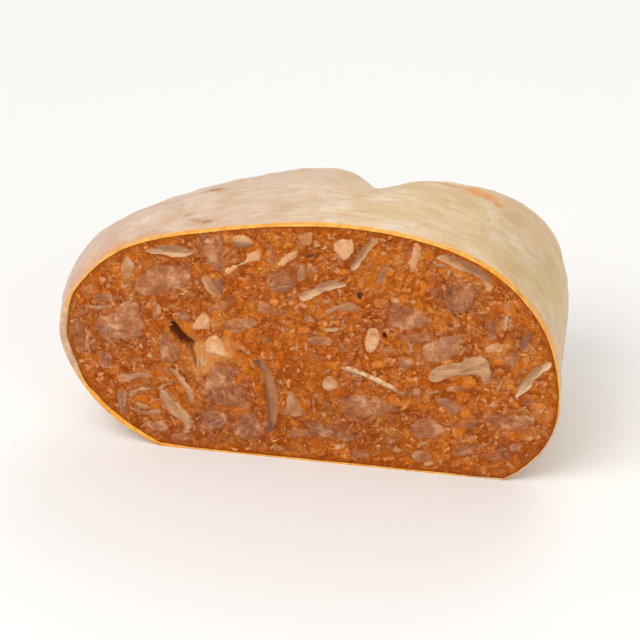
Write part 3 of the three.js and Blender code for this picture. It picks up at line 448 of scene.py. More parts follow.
def broad_marks(x, z):
    """How much of each of the broad areas of the mix is felt at points of the cut."""
    marks = {}
    for name, rows in BROAD_AREAS.items():
        marks[name] = np.zeros(len(x))
        for middle_x, middle_z, length, width, turn, strength in rows:
            c, s = math.cos(math.radians(turn)), math.sin(math.radians(turn))
            u = ((x - middle_x) * c + (z - middle_z) * s) / length * 2
            v = ((z - middle_z) * c - (x - middle_x) * s) / width * 2
            marks[name] = np.maximum(marks[name], strength * np.exp(-((u**2 + v**2) ** 1.5)))
    return marks


def signed_reach(loop, points):
    """Distance of points from a closed loop in mm, more than 0 inside it."""
    parts = []
    for part in np.array_split(points, len(points) // 2000 + 1):
        leg = np.roll(loop, -1, 0) - loop
        to = part[:, None] - loop
        t = np.clip((to * leg).sum(-1) / np.maximum((leg**2).sum(-1), 1e-9), 0, 1)
        gap = np.sqrt(((to - t[..., None] * leg) ** 2).sum(-1)).min(1)
        x, z = part[:, :1], part[:, 1:]
        spans = (loop[:, 1] > z) != (np.roll(loop[:, 1], -1) > z)
        rise = np.where(np.abs(leg[:, 1]) < 1e-9, 1e-9, leg[:, 1])
        crossed = spans & (x < loop[:, 0] + (z - loop[:, 1]) / rise * leg[:, 0])
        parts.append(np.where(crossed.sum(1) % 2 == 1, gap, -gap))
    return np.concatenate(parts)


def near(loop, points, margin=0.0):
    """Which points are near enough to a loop to be worth measuring."""
    return ((points > loop.min(0) - margin) & (points < loop.max(0) + margin)).all(1)


def triangles_in(loop, inner=()):
    """Triangles that fill a loop, through its own points first and then the inner ones."""
    made = delaunay_2d_cdt([Vector(p) for p in [*loop, *inner]], [], [list(range(len(loop)))], 1, 1e-6, False)
    flat, faces = np.array([p[:] for p in made[0]]), np.array(made[2])
    return flat, faces[signed_reach(loop, flat[faces].mean(1)) > 0]


def filled(loop, step, seed):
    """A loop filled with triangles over a loose grid of inner points."""
    low, high = loop.min(0), loop.max(0)
    grid = np.stack(np.meshgrid(np.arange(low[0], high[0], step), np.arange(low[1], high[1], step * 0.87)), -1)
    grid[::2, :, 0] += step / 2
    grid = grid.reshape(-1, 2)
    grid += np.random.default_rng(seed).uniform(-0.18, 0.18, grid.shape) * step
    return triangles_in(loop, grid[signed_reach(loop, grid) > 0.6 * step])


def drawn_loop(x, z, length, width, turn, bend, step=0.6):
    """The outline of a scrap, with rounded ends, anticlockwise. A bend lifts both ends."""
    count = max(int(math.pi * (length + width) / 2 / step), 10)
    t = np.arange(count) / count * 2 * math.pi
    u = np.sign(np.cos(t)) * np.abs(np.cos(t)) ** 0.7 * length / 2
    v = np.sin(t) * width / 2 + np.abs(u) * np.sin(math.radians(bend) * (u / length) ** 2 * 2)
    c, s = math.cos(math.radians(turn)), math.sin(math.radians(turn))
    return np.stack([x + u * c - v * s, z + u * s + v * c], -1)


def knotted_loop(knots, step=0.6):
    """A smooth closed curve through knots, anticlockwise, read about every step mm."""
    knots = np.array(knots, float)
    x, z = knots.T
    if (x * np.roll(z, -1) - np.roll(x, -1) * z).sum() < 0:
        knots = knots[::-1]
    length = np.linalg.norm(np.roll(knots, -1, 0) - knots, axis=1).sum()
    return around(knots, np.arange(max(int(length / step), 12)) / max(int(length / step), 12))


def grown(loop, by):
    """The loop moved outwards by a distance for each of its points."""
    ahead = np.roll(loop, -1, 0) - np.roll(loop, 1, 0)
    out = np.stack([ahead[:, 1], -ahead[:, 0]], -1)
    out /= np.maximum(np.linalg.norm(out, axis=1, keepdims=True), 1e-9)
    return loop + out * np.asarray(by)[..., None]


# ---- Materials ------------------------------------------------------------------------------

MIX_A, MIX_B, MIXED = 6, 7, 2  # sockets of a Mix node that mixes colours


def linear(colour):
    """An sRGB hex colour as linear RGBA."""
    parts = [int(colour[i:i + 2], 16) / 255 for i in (1, 3, 5)]
    return [p / 12.92 if p <= 0.04045 else ((p + 0.055) / 1.055) ** 2.4 for p in parts] + [1.0]


def add(tree, kind, inputs={}, stops=None, **settings):
    """Adds a node with its settings. An input is a value, or another node's output to link."""
    made = tree.nodes.new(kind)
    for name, value in settings.items():
        setattr(made, name, value)
    for position, colour in stops or ():
        ramp = made.color_ramp.elements
        stop = ramp[0] if position == stops[0][0] else ramp[-1] if position == stops[-1][0] else ramp.new(position)
        stop.position, stop.color = position, linear(colour)
    for socket, value in inputs.items():
        if isinstance(value, bpy.types.NodeSocket):
            tree.links.new(value, made.inputs[socket])
        else:
            made.inputs[socket].default_value = value
    return made


def per_mm(size):
    """The scale of a texture whose features are that many mm wide, on coordinates in metres."""
    return 1 / (size * MM)


def new_finish(name, specular, glow, glow_mm):
    """An empty material with its tree, its shader, its Object coordinates and its constants.

    Glow is the share of light that goes in and out again, glow_mm how far it goes. Red goes
    farthest in anything boiled from an animal."""
    finish = bpy.data.materials.new(name)
    finish.use_nodes = True
    tree = finish.node_tree
    shader = tree.nodes["Principled BSDF"]
    shader.inputs["Specular IOR Level"].default_value = specular
    shader.inputs["Subsurface Weight"].default_value = glow
    shader.inputs["Subsurface Radius"].default_value = (1.0, 0.5, 0.25)
    shader.inputs["Subsurface Scale"].default_value = glow_mm * MM
    where = add(tree, "ShaderNodeTexCoord").outputs["Object"]
    return finish, tree, shader, where


def paprika_mince():
    """The colour and the height of the paste, as nodes that every cut material shares.

    Coarse pork mince bound with paprika fat: orange brown, in crumbs of meat and fat 1 to 5 mm
    wide, with dark seams, pools of orange fat and pale threads of fat."""
    tree = bpy.data.node_groups.new("paprika_mince", "ShaderNodeTree")
    tree.interface.new_socket("Where", in_out="INPUT", socket_type="NodeSocketVector")
    tree.interface.new_socket("Colour", in_out="OUTPUT", socket_type="NodeSocketColor")
    tree.interface.new_socket("Height", in_out="OUTPUT", socket_type="NodeSocketFloat")
    where = add(tree, "NodeGroupInput").outputs["Where"]
    sway = add(tree, "ShaderNodeTexNoise", {"Vector": where, "Scale": per_mm(5), "Detail": 3, "Roughness": 0.6})
    sway = add(tree, "ShaderNodeVectorMath", {0: sway.outputs["Color"], 1: (0.5, 0.5, 0.5)}, operation="SUBTRACT")
    bent = add(tree, "ShaderNodeVectorMath", {
        0: sway.outputs[0], 1: (7 * MM, 7 * MM, 7 * MM), 2: where}, operation="MULTIPLY_ADD").outputs[0]
    broad = add(tree, "ShaderNodeTexNoise", {"Vector": where, "Scale": per_mm(13), "Detail": 3, "Roughness": 0.6})
    colour = add(tree, "ShaderNodeValToRGB", {0: broad.outputs["Fac"]}, stops=[
        (0.38, "#8F3D03"), (0.46, "#A84F06"), (0.55, "#B85F0C"), (0.64, "#C8721A")]).outputs[0]
    # how torn the borders of all areas are
    torn = add(tree, "ShaderNodeTexNoise", {"Vector": bent, "Scale": per_mm(3.6), "Detail": 3, "Roughness": 0.65})
    areas = {}
    for name, most in (("orange", 0.75), ("lean", 0.85), ("peach", 0.62), ("shade", 0.6)):
        mark = add(tree, "ShaderNodeAttribute", attribute_name=name).outputs["Fac"]
        reach = add(tree, "ShaderNodeMath", {0: torn.outputs["Fac"], 1: 1.6, 2: -0.8}, operation="MULTIPLY_ADD")
        reach = add(tree, "ShaderNodeMath", {0: reach.outputs[0], 1: mark}, operation="ADD")
        areas[name] = add(tree, "ShaderNodeMapRange", {0: reach.outputs[0], 1: 0.25, 2: 0.95, 3: 0.0, 4: most}).outputs[0]
    # pieces of mince, 4 to 5 mm wide: red paste, lean meat or fat soaked with paprika
    mince = add(tree, "ShaderNodeTexVoronoi", {"Vector": bent, "Scale": per_mm(4.6)})
    kind = add(tree, "ShaderNodeSeparateColor", {0: mince.outputs["Color"]})
    mince_colour = add(tree, "ShaderNodeValToRGB", {0: kind.outputs["Red"]}, stops=[
        (0.0, "#7C3202"), (0.2, "#9C4604"), (0.4, "#B65C10"), (0.55, "#A65F2E"), (0.66, "#8E563E"),
        (0.76, "#B4743C"), (0.88, "#CA6E0E"), (1.0, "#DA8C3A")])
    share = add(tree, "ShaderNodeMapRange", {0: mince.outputs["Distance"], 1: 0.15, 2: 0.62, 3: 0.78, 4: 0.12})
    colour = add(tree, "ShaderNodeMix", {
        0: share.outputs[0], MIX_A: colour, MIX_B: mince_colour.outputs[0]}, data_type="RGBA").outputs[MIXED]
    colour = add(tree, "ShaderNodeMix", {
        0: areas["orange"], MIX_A: colour, MIX_B: linear("#BC5A06")}, data_type="RGBA").outputs[MIXED]
    # finer minced lean meat, mauve brown
    lean = add(tree, "ShaderNodeTexNoise", {"Vector": bent, "Scale": per_mm(2.6), "Detail": 3, "Roughness": 0.6})
    lean = add(tree, "ShaderNodeValToRGB", {0: lean.outputs["Fac"]}, stops=[
        (0.36, "#6C3A22"), (0.48, "#905234"), (0.56, "#A46A48"), (0.66, "#C08A64")])
    colour = add(tree, "ShaderNodeMix", {
        0: areas["lean"], MIX_A: colour, MIX_B: lean.outputs[0]}, data_type="RGBA").outputs[MIXED]
    # crumbs, 1 to 2 mm wide
    crumbs = add(tree, "ShaderNodeTexVoronoi", {"Vector": bent, "Scale": per_mm(1.8)})
    kind = add(tree, "ShaderNodeSeparateColor", {0: crumbs.outputs["Color"]})
    crumb_colour = add(tree, "ShaderNodeValToRGB", {0: kind.outputs["Green"]}, stops=[
        (0.0, "#6E2A02"), (0.25, "#9A4406"), (0.55, "#BC6214"), (0.78, "#D5833C"), (0.92, "#E7AC78"), (1.0, "#F0C498")])
    share = add(tree, "ShaderNodeMapRange", {0: crumbs.outputs["Distance"], 1: 0.1, 2: 0.65, 3: 0.6, 4: 0.1})
    colour = add(tree, "ShaderNodeMix", {
        0: share.outputs[0], MIX_A: colour, MIX_B: crumb_colour.outputs[0]}, data_type="RGBA").outputs[MIXED]
    # dark seams between the pieces of mince, and the "shade" areas: darker paste, and in one wide area low on the face
    # painted shadow
    seams = add(tree, "ShaderNodeTexVoronoi", {"Vector": bent, "Scale": per_mm(4.6)}, feature="DISTANCE_TO_EDGE")
    share = add(tree, "ShaderNodeMapRange", {0: seams.outputs["Distance"], 1: 0.01, 2: 0.14, 3: 0.6, 4: 0.0})
    share = add(tree, "ShaderNodeMath", {0: share.outputs[0], 1: areas["shade"]}, operation="MAXIMUM")
    colour = add(tree, "ShaderNodeMix", {
        0: share.outputs[0], MIX_A: colour, MIX_B: linear("#7A3002")}, data_type="RGBA").outputs[MIXED]
    # pools of orange fat, up to 8 mm wide
    pools = add(tree, "ShaderNodeTexNoise", {
        "Vector": bent, "Scale": per_mm(8), "Detail": 3, "Roughness": 0.6, "Distortion": 0.4})
    share = add(tree, "ShaderNodeMapRange", {0: pools.outputs["Fac"], 1: 0.56, 2: 0.68, 3: 0.0, 4: 0.65})
    colour = add(tree, "ShaderNodeMix", {
        0: share.outputs[0], MIX_A: colour, MIX_B: linear("#C96808")}, data_type="RGBA").outputs[MIXED]
    colour = add(tree, "ShaderNodeMix", {
        0: areas["peach"], MIX_A: colour, MIX_B: linear("#E39A54")}, data_type="RGBA").outputs[MIXED]
    # threads of fat about 0.5 mm wide, broken into pieces some mm long
    curls = add(tree, "ShaderNodeTexNoise", {"Vector": bent, "Scale": per_mm(2.8), "Detail": 1.5, "Distortion": 0.8})
    off = add(tree, "ShaderNodeMath", {0: curls.outputs["Fac"], 1: 0.5}, operation="SUBTRACT")
    off = add(tree, "ShaderNodeMath", {0: off.outputs[0]}, operation="ABSOLUTE")
    line = add(tree, "ShaderNodeMapRange", {0: off.outputs[0], 1: 0.008, 2: 0.04, 3: 0.6, 4: 0.0})
    broken = add(tree, "ShaderNodeTexNoise", {"Vector": where, "Scale": per_mm(4), "Detail": 2})
    gap = add(tree, "ShaderNodeMapRange", {0: broken.outputs["Fac"], 1: 0.48, 2: 0.56})
    share = add(tree, "ShaderNodeMath", {0: line.outputs[0], 1: gap.outputs[0]}, operation="MULTIPLY")
    colour = add(tree, "ShaderNodeMix", {
        0: share.outputs[0], MIX_A: colour, MIX_B: linear("#DE9A58")}, data_type="RGBA").outputs[MIXED]
    high = add(tree, "ShaderNodeMath", {0: mince.outputs["Distance"], 1: -0.8, 2: 1.0}, operation="MULTIPLY_ADD")
    high = add(tree, "ShaderNodeMath", {
        0: crumbs.outputs["Distance"], 1: -0.45, 2: high.outputs[0]}, operation="MULTIPLY_ADD")
    high = add(tree, "ShaderNodeMath", {0: share.outputs[0], 1: 0.4, 2: high.outputs[0]}, operation="MULTIPLY_ADD")
    add(tree, "NodeGroupOutput", {"Colour": colour, "Height": high.outputs[0]})
    return tree


MINCE = paprika_mince()


def paprika_paste():
    """Boiled and sliced paste: moist but not glossy, with crumbs that stand out a little."""
    finish, tree, shader, where = new_finish("paprika_paste", 0.07, 0.1, 1.0)
    mince = add(tree, "ShaderNodeGroup", {"Where": where}, node_tree=MINCE).outputs
    # along the rim the paste is denser and darker
    rim = add(tree, "ShaderNodeAttribute", attribute_name="rim").outputs["Fac"]
    ragged = add(tree, "ShaderNodeTexNoise", {"Vector": where, "Scale": per_mm(4), "Detail": 3})
    rim = add(tree, "ShaderNodeMath", {0: rim, 1: ragged.outputs["Fac"]}, operation="MULTIPLY")
    rim = add(tree, "ShaderNodeMapRange", {0: rim.outputs[0], 1: 0.15, 2: 0.55, 3: 0.0, 4: 0.6})
    colour = add(tree, "ShaderNodeMix", {
        0: rim.outputs[0], MIX_A: mince["Colour"], MIX_B: linear("#984504")}, data_type="RGBA").outputs[MIXED]
    # painted shade: the holes, which also hold dark paprika, and the hairline where the paste meets the wall
    hole = add(tree, "ShaderNodeAttribute", attribute_name="hole").outputs["Fac"]
    colour = add(tree, "ShaderNodeMix", {0: hole, MIX_A: colour, MIX_B: linear("#5C2806")}, data_type="RGBA").outputs[MIXED]
    tree.links.new(colour, shader.inputs["Base Color"])
    rough = add(tree, "ShaderNodeMapRange", {0: ragged.outputs["Fac"], 1: 0.35, 2: 0.65, 3: 0.4, 4: 0.6})
    tree.links.new(rough.outputs[0], shader.inputs["Roughness"])
    bump = add(tree, "ShaderNodeBump", {"Height": mince["Height"], "Strength": 0.7, "Distance": 0.8 * MM})
    tree.links.new(bump.outputs[0], shader.inputs["Normal"])
    return finish


def soaked(tree, where, colour, width, stain):
    """Fades a piece into the paste over a ragged border that wide in mm, and stains it within."""
    mince = add(tree, "ShaderNodeGroup", {"Where": where}, node_tree=MINCE).outputs
    reach = add(tree, "ShaderNodeAttribute", attribute_name="reach").outputs["Fac"]
    ragged = add(tree, "ShaderNodeTexNoise", {"Vector": where, "Scale": per_mm(2.4), "Detail": 4, "Roughness": 0.65})
    shore = add(tree, "ShaderNodeMath", {0: ragged.outputs["Fac"], 1: -4 * width, 2: 2 * width}, operation="MULTIPLY_ADD")
    shore = add(tree, "ShaderNodeMath", {0: shore.outputs[0], 1: reach}, operation="ADD")
    border = add(tree, "ShaderNodeMapRange", {
        0: shore.outputs[0], 1: 0.1, 2: width, 3: 0.95, 4: 0.0}, interpolation_type="SMOOTHSTEP")
    runs = add(tree, "ShaderNodeTexNoise", {"Vector": where, "Scale": per_mm(4.2), "Detail": 4, "Roughness": 0.65, "Distortion": 1.0})
    runs = add(tree, "ShaderNodeMapRange", {0: runs.outputs["Fac"], 1: 0.5, 2: 0.66, 3: 0.0, 4: stain})
    share = add(tree, "ShaderNodeMath", {0: border.outputs[0], 1: runs.outputs[0]}, operation="MAXIMUM")
    return add(tree, "ShaderNodeMix", {
        0: share.outputs[0], MIX_A: colour, MIX_B: mince["Colour"]}, data_type="RGBA").outputs[MIXED]


def boiled_pork():
    """Boiled lean pork, cut across and along its fibres: mauve pink to brown, matt, stained."""
    finish, tree, shader, where = new_finish("boiled_pork", 0.09, 0.12, 1.2)
    marks = {name: add(tree, "ShaderNodeAttribute", attribute_name=name).outputs["Fac"] for name in ("along", "across", "tone")}
    colour = add(tree, "ShaderNodeValToRGB", {0: marks["tone"]}, stops=[
        (0.0, "#BE8056"), (0.35, "#AA6A3E"), (0.65, "#965630"), (1.0, "#6A3824")]).outputs[0]
    cloud = add(tree, "ShaderNodeTexNoise", {"Vector": where, "Scale": per_mm(5.5), "Detail": 4, "Roughness": 0.62})
    cloudy = add(tree, "ShaderNodeValToRGB", {0: cloud.outputs["Fac"]}, stops=[
        (0.36, "#66341B"), (0.45, "#8F502C"), (0.54, "#B0744A"), (0.64, "#DCA97F")])
    colour = add(tree, "ShaderNodeMix", {0: 0.62, MIX_A: colour, MIX_B: cloudy.outputs[0]}, data_type="RGBA").outputs[MIXED]
    # lean meat turns greyish violet where the brine reached it
    violet = add(tree, "ShaderNodeTexNoise", {"Vector": where, "Scale": per_mm(9), "Detail": 2})
    share = add(tree, "ShaderNodeMapRange", {0: violet.outputs["Fac"], 1: 0.5, 2: 0.64, 3: 0.0, 4: 0.35})
    colour = add(tree, "ShaderNodeMix", {0: share.outputs[0], MIX_A: colour, MIX_B: linear("#8A5A4C")}, data_type="RGBA").outputs[MIXED]
    # fibres, drawn twice as coarse as they are
    grain = add(tree, "ShaderNodeCombineXYZ", {0: marks["along"], 1: marks["across"], 2: marks["tone"]})
    stretch = add(tree, "ShaderNodeMapping", {"Vector": grain.outputs[0], "Scale": (0.2, 0.9, 20)})
    fibre = add(tree, "ShaderNodeTexNoise", {"Vector": stretch.outputs[0], "Scale": 1.0, "Detail": 3, "Distortion": 1.0})
    share = add(tree, "ShaderNodeMapRange", {0: fibre.outputs["Fac"], 1: 0.5, 2: 0.74, 3: 0.0, 4: 0.42})
    colour = add(tree, "ShaderNodeMix", {0: share.outputs[0], MIX_A: colour, MIX_B: linear("#D0A184")}, data_type="RGBA").outputs[MIXED]
    tree.links.new(soaked(tree, where, colour, 1.9, 0.75), shader.inputs["Base Color"])
    rough = add(tree, "ShaderNodeMapRange", {0: cloud.outputs["Fac"], 1: 0.3, 2: 0.7, 3: 0.4, 4: 0.6})
    tree.links.new(rough.outputs[0], shader.inputs["Roughness"])
    high = add(tree, "ShaderNodeMath", {0: fibre.outputs["Fac"], 1: 0.6, 2: cloud.outputs["Fac"]}, operation="MULTIPLY_ADD")
    bump = add(tree, "ShaderNodeBump", {"Height": high.outputs[0], "Strength": 0.5, "Distance": 0.8 * MM})
    tree.links.new(bump.outputs[0], shader.inputs["Normal"])
    return finish


def back_fat():
    """Boiled back fat: cream, dense and slightly see-through, tinted by the paprika round it."""
    finish, tree, shader, where = new_finish("back_fat", 0.14, 0.22, 1.5)
    tone = add(tree, "ShaderNodeAttribute", attribute_name="tone").outputs["Fac"]
    colour = add(tree, "ShaderNodeValToRGB", {0: tone}, stops=[
        (0.0, "#E2B284"), (0.35, "#C98E60"), (0.7, "#A86C42"), (1.0, "#8A5230")]).outputs[0]
    cloud = add(tree, "ShaderNodeTexNoise", {"Vector": where, "Scale": per_mm(3.0), "Detail": 4, "Roughness": 0.6})
    cloudy = add(tree, "ShaderNodeValToRGB", {0: cloud.outputs["Fac"]}, stops=[
        (0.34, "#AE6630"), (0.5, "#D09662"), (0.66, "#EFCFA8")])
    colour = add(tree, "ShaderNodeMix", {0: 0.38, MIX_A: colour, MIX_B: cloudy.outputs[0]}, data_type="RGBA").outputs[MIXED]
    tree.links.new(soaked(tree, where, colour, 1.2, 0.45), shader.inputs["Base Color"])
    rough = add(tree, "ShaderNodeMapRange", {0: cloud.outputs["Fac"], 1: 0.3, 2: 0.7, 3: 0.3, 4: 0.5})
    tree.links.new(rough.outputs[0], shader.inputs["Roughness"])
    bump = add(tree, "ShaderNodeBump", {"Height": cloud.outputs["Fac"], "Strength": 0.4, "Distance": 0.6 * MM})
    tree.links.new(bump.outputs[0], shader.inputs["Normal"])
    return finish


def boiled_rind():
    """Strips of boiled rind: a cream outer side and a grey, glassy inner side."""
    finish, tree, shader, where = new_finish("boiled_rind", 0.14, 0.18, 1.2)
    marks = {name: add(tree, "ShaderNodeAttribute", attribute_name=name).outputs["Fac"] for name in ("along", "across", "tone", "cream")}
    grain = add(tree, "ShaderNodeCombineXYZ", {0: marks["along"], 1: marks["across"], 2: marks["tone"]})
    stretch = add(tree, "ShaderNodeMapping", {"Vector": grain.outputs[0], "Scale": (0.14, 0.6, 20)})
    layer = add(tree, "ShaderNodeTexNoise", {"Vector": stretch.outputs[0], "Scale": 1.0, "Detail": 2, "Distortion": 0.4})
    side = add(tree, "ShaderNodeMath", {0: layer.outputs["Fac"], 1: 0.7, 2: marks["cream"]}, operation="MULTIPLY_ADD")
    side = add(tree, "ShaderNodeMapRange", {0: side.outputs[0], 1: 0.55, 2: 1.2}, interpolation_type="SMOOTHSTEP")
    dark = add(tree, "ShaderNodeValToRGB", {0: marks["tone"]}, stops=[(0.0, "#A07452"), (0.5, "#8A5C40"), (1.0, "#6A4434")])
    pale = add(tree, "ShaderNodeValToRGB", {0: marks["tone"]}, stops=[(0.0, "#EDC89C"), (0.5, "#CE9664"), (1.0, "#A36C48")])
    colour = add(tree, "ShaderNodeMix", {
        0: side.outputs[0], MIX_A: dark.outputs[0], MIX_B: pale.outputs[0]}, data_type="RGBA").outputs[MIXED]
    tree.links.new(soaked(tree, where, colour, 1.0, 0.5), shader.inputs["Base Color"])
    rough = add(tree, "ShaderNodeMapRange", {0: layer.outputs["Fac"], 1: 0.3, 2: 0.7, 3: 0.3, 4: 0.5})
    tree.links.new(rough.outputs[0], shader.inputs["Roughness"])
    bump = add(tree, "ShaderNodeBump", {"Height": layer.outputs["Fac"], "Strength": 0.4, "Distance": 0.5 * MM})
    tree.links.new(bump.outputs[0], shader.inputs["Normal"])
    return finish


def paprika_fat():
    """Fat soaked with paprika: orange, from deep to pale, with the paste's own colour in it."""
    finish, tree, shader, where = new_finish("paprika_fat", 0.12, 0.1, 0.8)
    tone = add(tree, "ShaderNodeAttribute", attribute_name="tone").outputs["Fac"]
    cloud = add(tree, "ShaderNodeTexNoise", {"Vector": where, "Scale": per_mm(1.3), "Detail": 3})
    wander = add(tree, "ShaderNodeMath", {0: cloud.outputs["Fac"], 1: 0.9, 2: tone}, operation="MULTIPLY_ADD")
    wander = add(tree, "ShaderNodeMath", {0: wander.outputs[0], 1: 0.45}, operation="SUBTRACT")
    colour = add(tree, "ShaderNodeValToRGB", {0: wander.outputs[0]}, stops=[
        (0.0, "#B05208"), (0.4, "#C46612"), (0.7, "#D07E34"), (1.0, "#E2A56C")]).outputs[0]
    tree.links.new(soaked(tree, where, colour, 0.6, 0.6), shader.inputs["Base Color"])
    shader.inputs["Roughness"].default_value = 0.42
    bump = add(tree, "ShaderNodeBump", {"Height": cloud.outputs["Fac"], "Strength": 0.4, "Distance": 0.4 * MM})
    tree.links.new(bump.outputs[0], shader.inputs["Normal"])
    return finish


def pepper_and_painted_shadow():
    """Crushed black pepper, dark clots and a line of painted shadow: nearly black to brown, matt."""
    finish, tree, shader, where = new_finish("pepper_and_painted_shadow", 0.2, 0.0, 0.1)
    cloud = add(tree, "ShaderNodeTexNoise", {"Vector": where, "Scale": per_mm(0.7), "Detail": 2})
    colour = add(tree, "ShaderNodeValToRGB", {0: cloud.outputs["Fac"]}, stops=[(0.3, "#2C140B"), (0.55, "#53290F"), (0.75, "#7C4420")])
    tree.links.new(soaked(tree, where, colour.outputs[0], 0.4, 0.2), shader.inputs["Base Color"])
    shader.inputs["Roughness"].default_value = 0.55
    bump = add(tree, "ShaderNodeBump", {"Height": cloud.outputs["Fac"], "Strength": 0.6, "Distance": 0.3 * MM})
    tree.links.new(bump.outputs[0], shader.inputs["Normal"])
    return finish


def cooked_stomach():
    """Boiled stomach wall: a smooth, damp cream skin with fine streaks, pale veins and stains, and soft highlights
    painted as pale patches.
    """
    finish, tree, shader, where = new_finish("cooked_stomach", 0.32, 0.2, 1.8)
    marks = {name: add(tree, "ShaderNodeAttribute", attribute_name=name).outputs["Fac"]
             for name in ("from_cut", "edge", "slant", "brown", "orange", "straw")}
    # broad colour: pink cream on the left, butter in the middle, peach on the right
    broad = add(tree, "ShaderNodeTexNoise", {"Vector": where, "Scale": per_mm(36), "Detail": 3, "Roughness": 0.55})
    place = add(tree, "ShaderNodeSeparateXYZ", {0: where})
    drift = add(tree, "ShaderNodeMath", {0: broad.outputs["Fac"], 1: 0.12, 2: place.outputs[0]}, operation="MULTIPLY_ADD")
    side = add(tree, "ShaderNodeMapRange", {0: drift.outputs[0], 1: -0.04, 2: 0.16})
    colour = add(tree, "ShaderNodeValToRGB", {0: side.outputs[0]}, stops=[
        (0.0, "#D2AF9D"), (0.3, "#D4B79F"), (0.55, "#D8BC9A"), (0.8, "#DAB889"), (1.0, "#D5B588")]).outputs[0]
    # pale cream patches about 15 mm wide are painted soft highlights; tan patches lie between them
    patch = add(tree, "ShaderNodeTexNoise", {"Vector": where, "Scale": per_mm(15), "Detail": 4, "Roughness": 0.6, "Distortion": 0.5})
    share = add(tree, "ShaderNodeMapRange", {0: patch.outputs["Fac"], 1: 0.5, 2: 0.68, 3: 0.0, 4: 0.62})
    colour = add(tree, "ShaderNodeMix", {0: share.outputs[0], MIX_A: colour, MIX_B: linear("#E3D2BC")}, data_type="RGBA").outputs[MIXED]
    share = add(tree, "ShaderNodeMapRange", {0: patch.outputs["Fac"], 1: 0.48, 2: 0.34, 3: 0.0, 4: 0.5})
    colour = add(tree, "ShaderNodeMix", {0: share.outputs[0], MIX_A: colour, MIX_B: linear("#C89D70")}, data_type="RGBA").outputs[MIXED]
    share = add(tree, "ShaderNodeMath", {0: marks["straw"], 1: 0.85}, operation="MULTIPLY")
    colour = add(tree, "ShaderNodeMix", {0: share.outputs[0], MIX_A: colour, MIX_B: linear("#C6A65F")}, data_type="RGBA").outputs[MIXED]
    # soft blotches about 7 mm wide: pink on the left, tan in the middle, straw on the right
    blotch = add(tree, "ShaderNodeTexNoise", {
        "Vector": where, "Scale": per_mm(7), "Detail": 4, "Roughness": 0.62, "Distortion": 0.6})
    tint = add(tree, "ShaderNodeValToRGB", {0: side.outputs[0]}, stops=[(0.0, "#CC9B85"), (0.45, "#CFA67C"), (1.0, "#C3A463")])
    share = add(tree, "ShaderNodeMapRange", {0: blotch.outputs["Fac"], 1: 0.48, 2: 0.64, 3: 0.0, 4: 0.55})
    colour = add(tree, "ShaderNodeMix", {0: share.outputs[0], MIX_A: colour, MIX_B: tint.outputs[0]}, data_type="RGBA").outputs[MIXED]
    # soft streaks along the rim, about 2 mm wide: slow along the surface, quick away from the cut,
    # and nearly gone at the back
    strands = add(tree, "ShaderNodeMath", {0: marks["from_cut"], 1: 0.5 / per_mm(13)}, operation="MULTIPLY")
    streak = add(tree, "ShaderNodeTexNoise", {
        "Vector": where, "W": strands.outputs[0], "Scale": per_mm(13), "Detail": 3, "Roughness": 0.6,
        "Distortion": 0.4}, noise_dimensions="4D")
    plain = add(tree, "ShaderNodeMapRange", {0: marks["from_cut"], 1: 28.0, 2: 62.0, 3: 1.0, 4: 0.2})
    share = add(tree, "ShaderNodeMapRange", {0: streak.outputs["Fac"], 1: 0.47, 2: 0.33, 3: 0.0, 4: 0.28})
    share = add(tree, "ShaderNodeMath", {0: share.outputs[0], 1: plain.outputs[0]}, operation="MULTIPLY")
    colour = add(tree, "ShaderNodeMix", {0: share.outputs[0], MIX_A: colour, MIX_B: linear("#B98A5E")}, data_type="RGBA").outputs[MIXED]
    share = add(tree, "ShaderNodeMapRange", {0: streak.outputs["Fac"], 1: 0.54, 2: 0.72, 3: 0.0, 4: 0.3})
    share = add(tree, "ShaderNodeMath", {0: share.outputs[0], 1: plain.outputs[0]}, operation="MULTIPLY")
    colour = add(tree, "ShaderNodeMix", {0: share.outputs[0], MIX_A: colour, MIX_B: linear("#F3E6D6")}, data_type="RGBA").outputs[MIXED]
    # pores and crumbs of pepper, about half a millimetre
    pores = add(tree, "ShaderNodeTexVoronoi", {"Vector": where, "Scale": per_mm(4.2)})
    share = add(tree, "ShaderNodeMapRange", {0: pores.outputs["Distance"], 1: 0.04, 2: 0.12, 3: 0.5, 4: 0.0})
    colour = add(tree, "ShaderNodeMix", {0: share.outputs[0], MIX_A: colour, MIX_B: linear("#8F6A48")}, data_type="RGBA").outputs[MIXED]
    # stains of paprika fat and browned marks, with ragged borders
    ragged = add(tree, "ShaderNodeTexNoise", {"Vector": where, "Scale": per_mm(3.2), "Detail": 4, "Roughness": 0.68})
    torn = add(tree, "ShaderNodeMath", {0: ragged.outputs["Fac"], 1: 1.0, 2: -0.5}, operation="MULTIPLY_ADD")
    stain = add(tree, "ShaderNodeMath", {0: marks["orange"], 1: torn.outputs[0]}, operation="ADD")
    stain = add(tree, "ShaderNodeMapRange", {0: stain.outputs[0], 1: 0.0, 2: 1.15, 3: 0.0, 4: 0.85}, interpolation_type="SMOOTHSTEP")
    colour = add(tree, "ShaderNodeMix", {0: stain.outputs[0], MIX_A: colour, MIX_B: linear("#DF861E")}, data_type="RGBA").outputs[MIXED]
    stain = add(tree, "ShaderNodeMath", {0: marks["brown"], 1: torn.outputs[0]}, operation="ADD")
    stain = add(tree, "ShaderNodeMapRange", {0: stain.outputs[0], 1: 0.15, 2: 1.0, 3: 0.0, 4: 0.95}, interpolation_type="SMOOTHSTEP")
    colour = add(tree, "ShaderNodeMix", {0: stain.outputs[0], MIX_A: colour, MIX_B: linear("#B0743A")}, data_type="RGBA").outputs[MIXED]
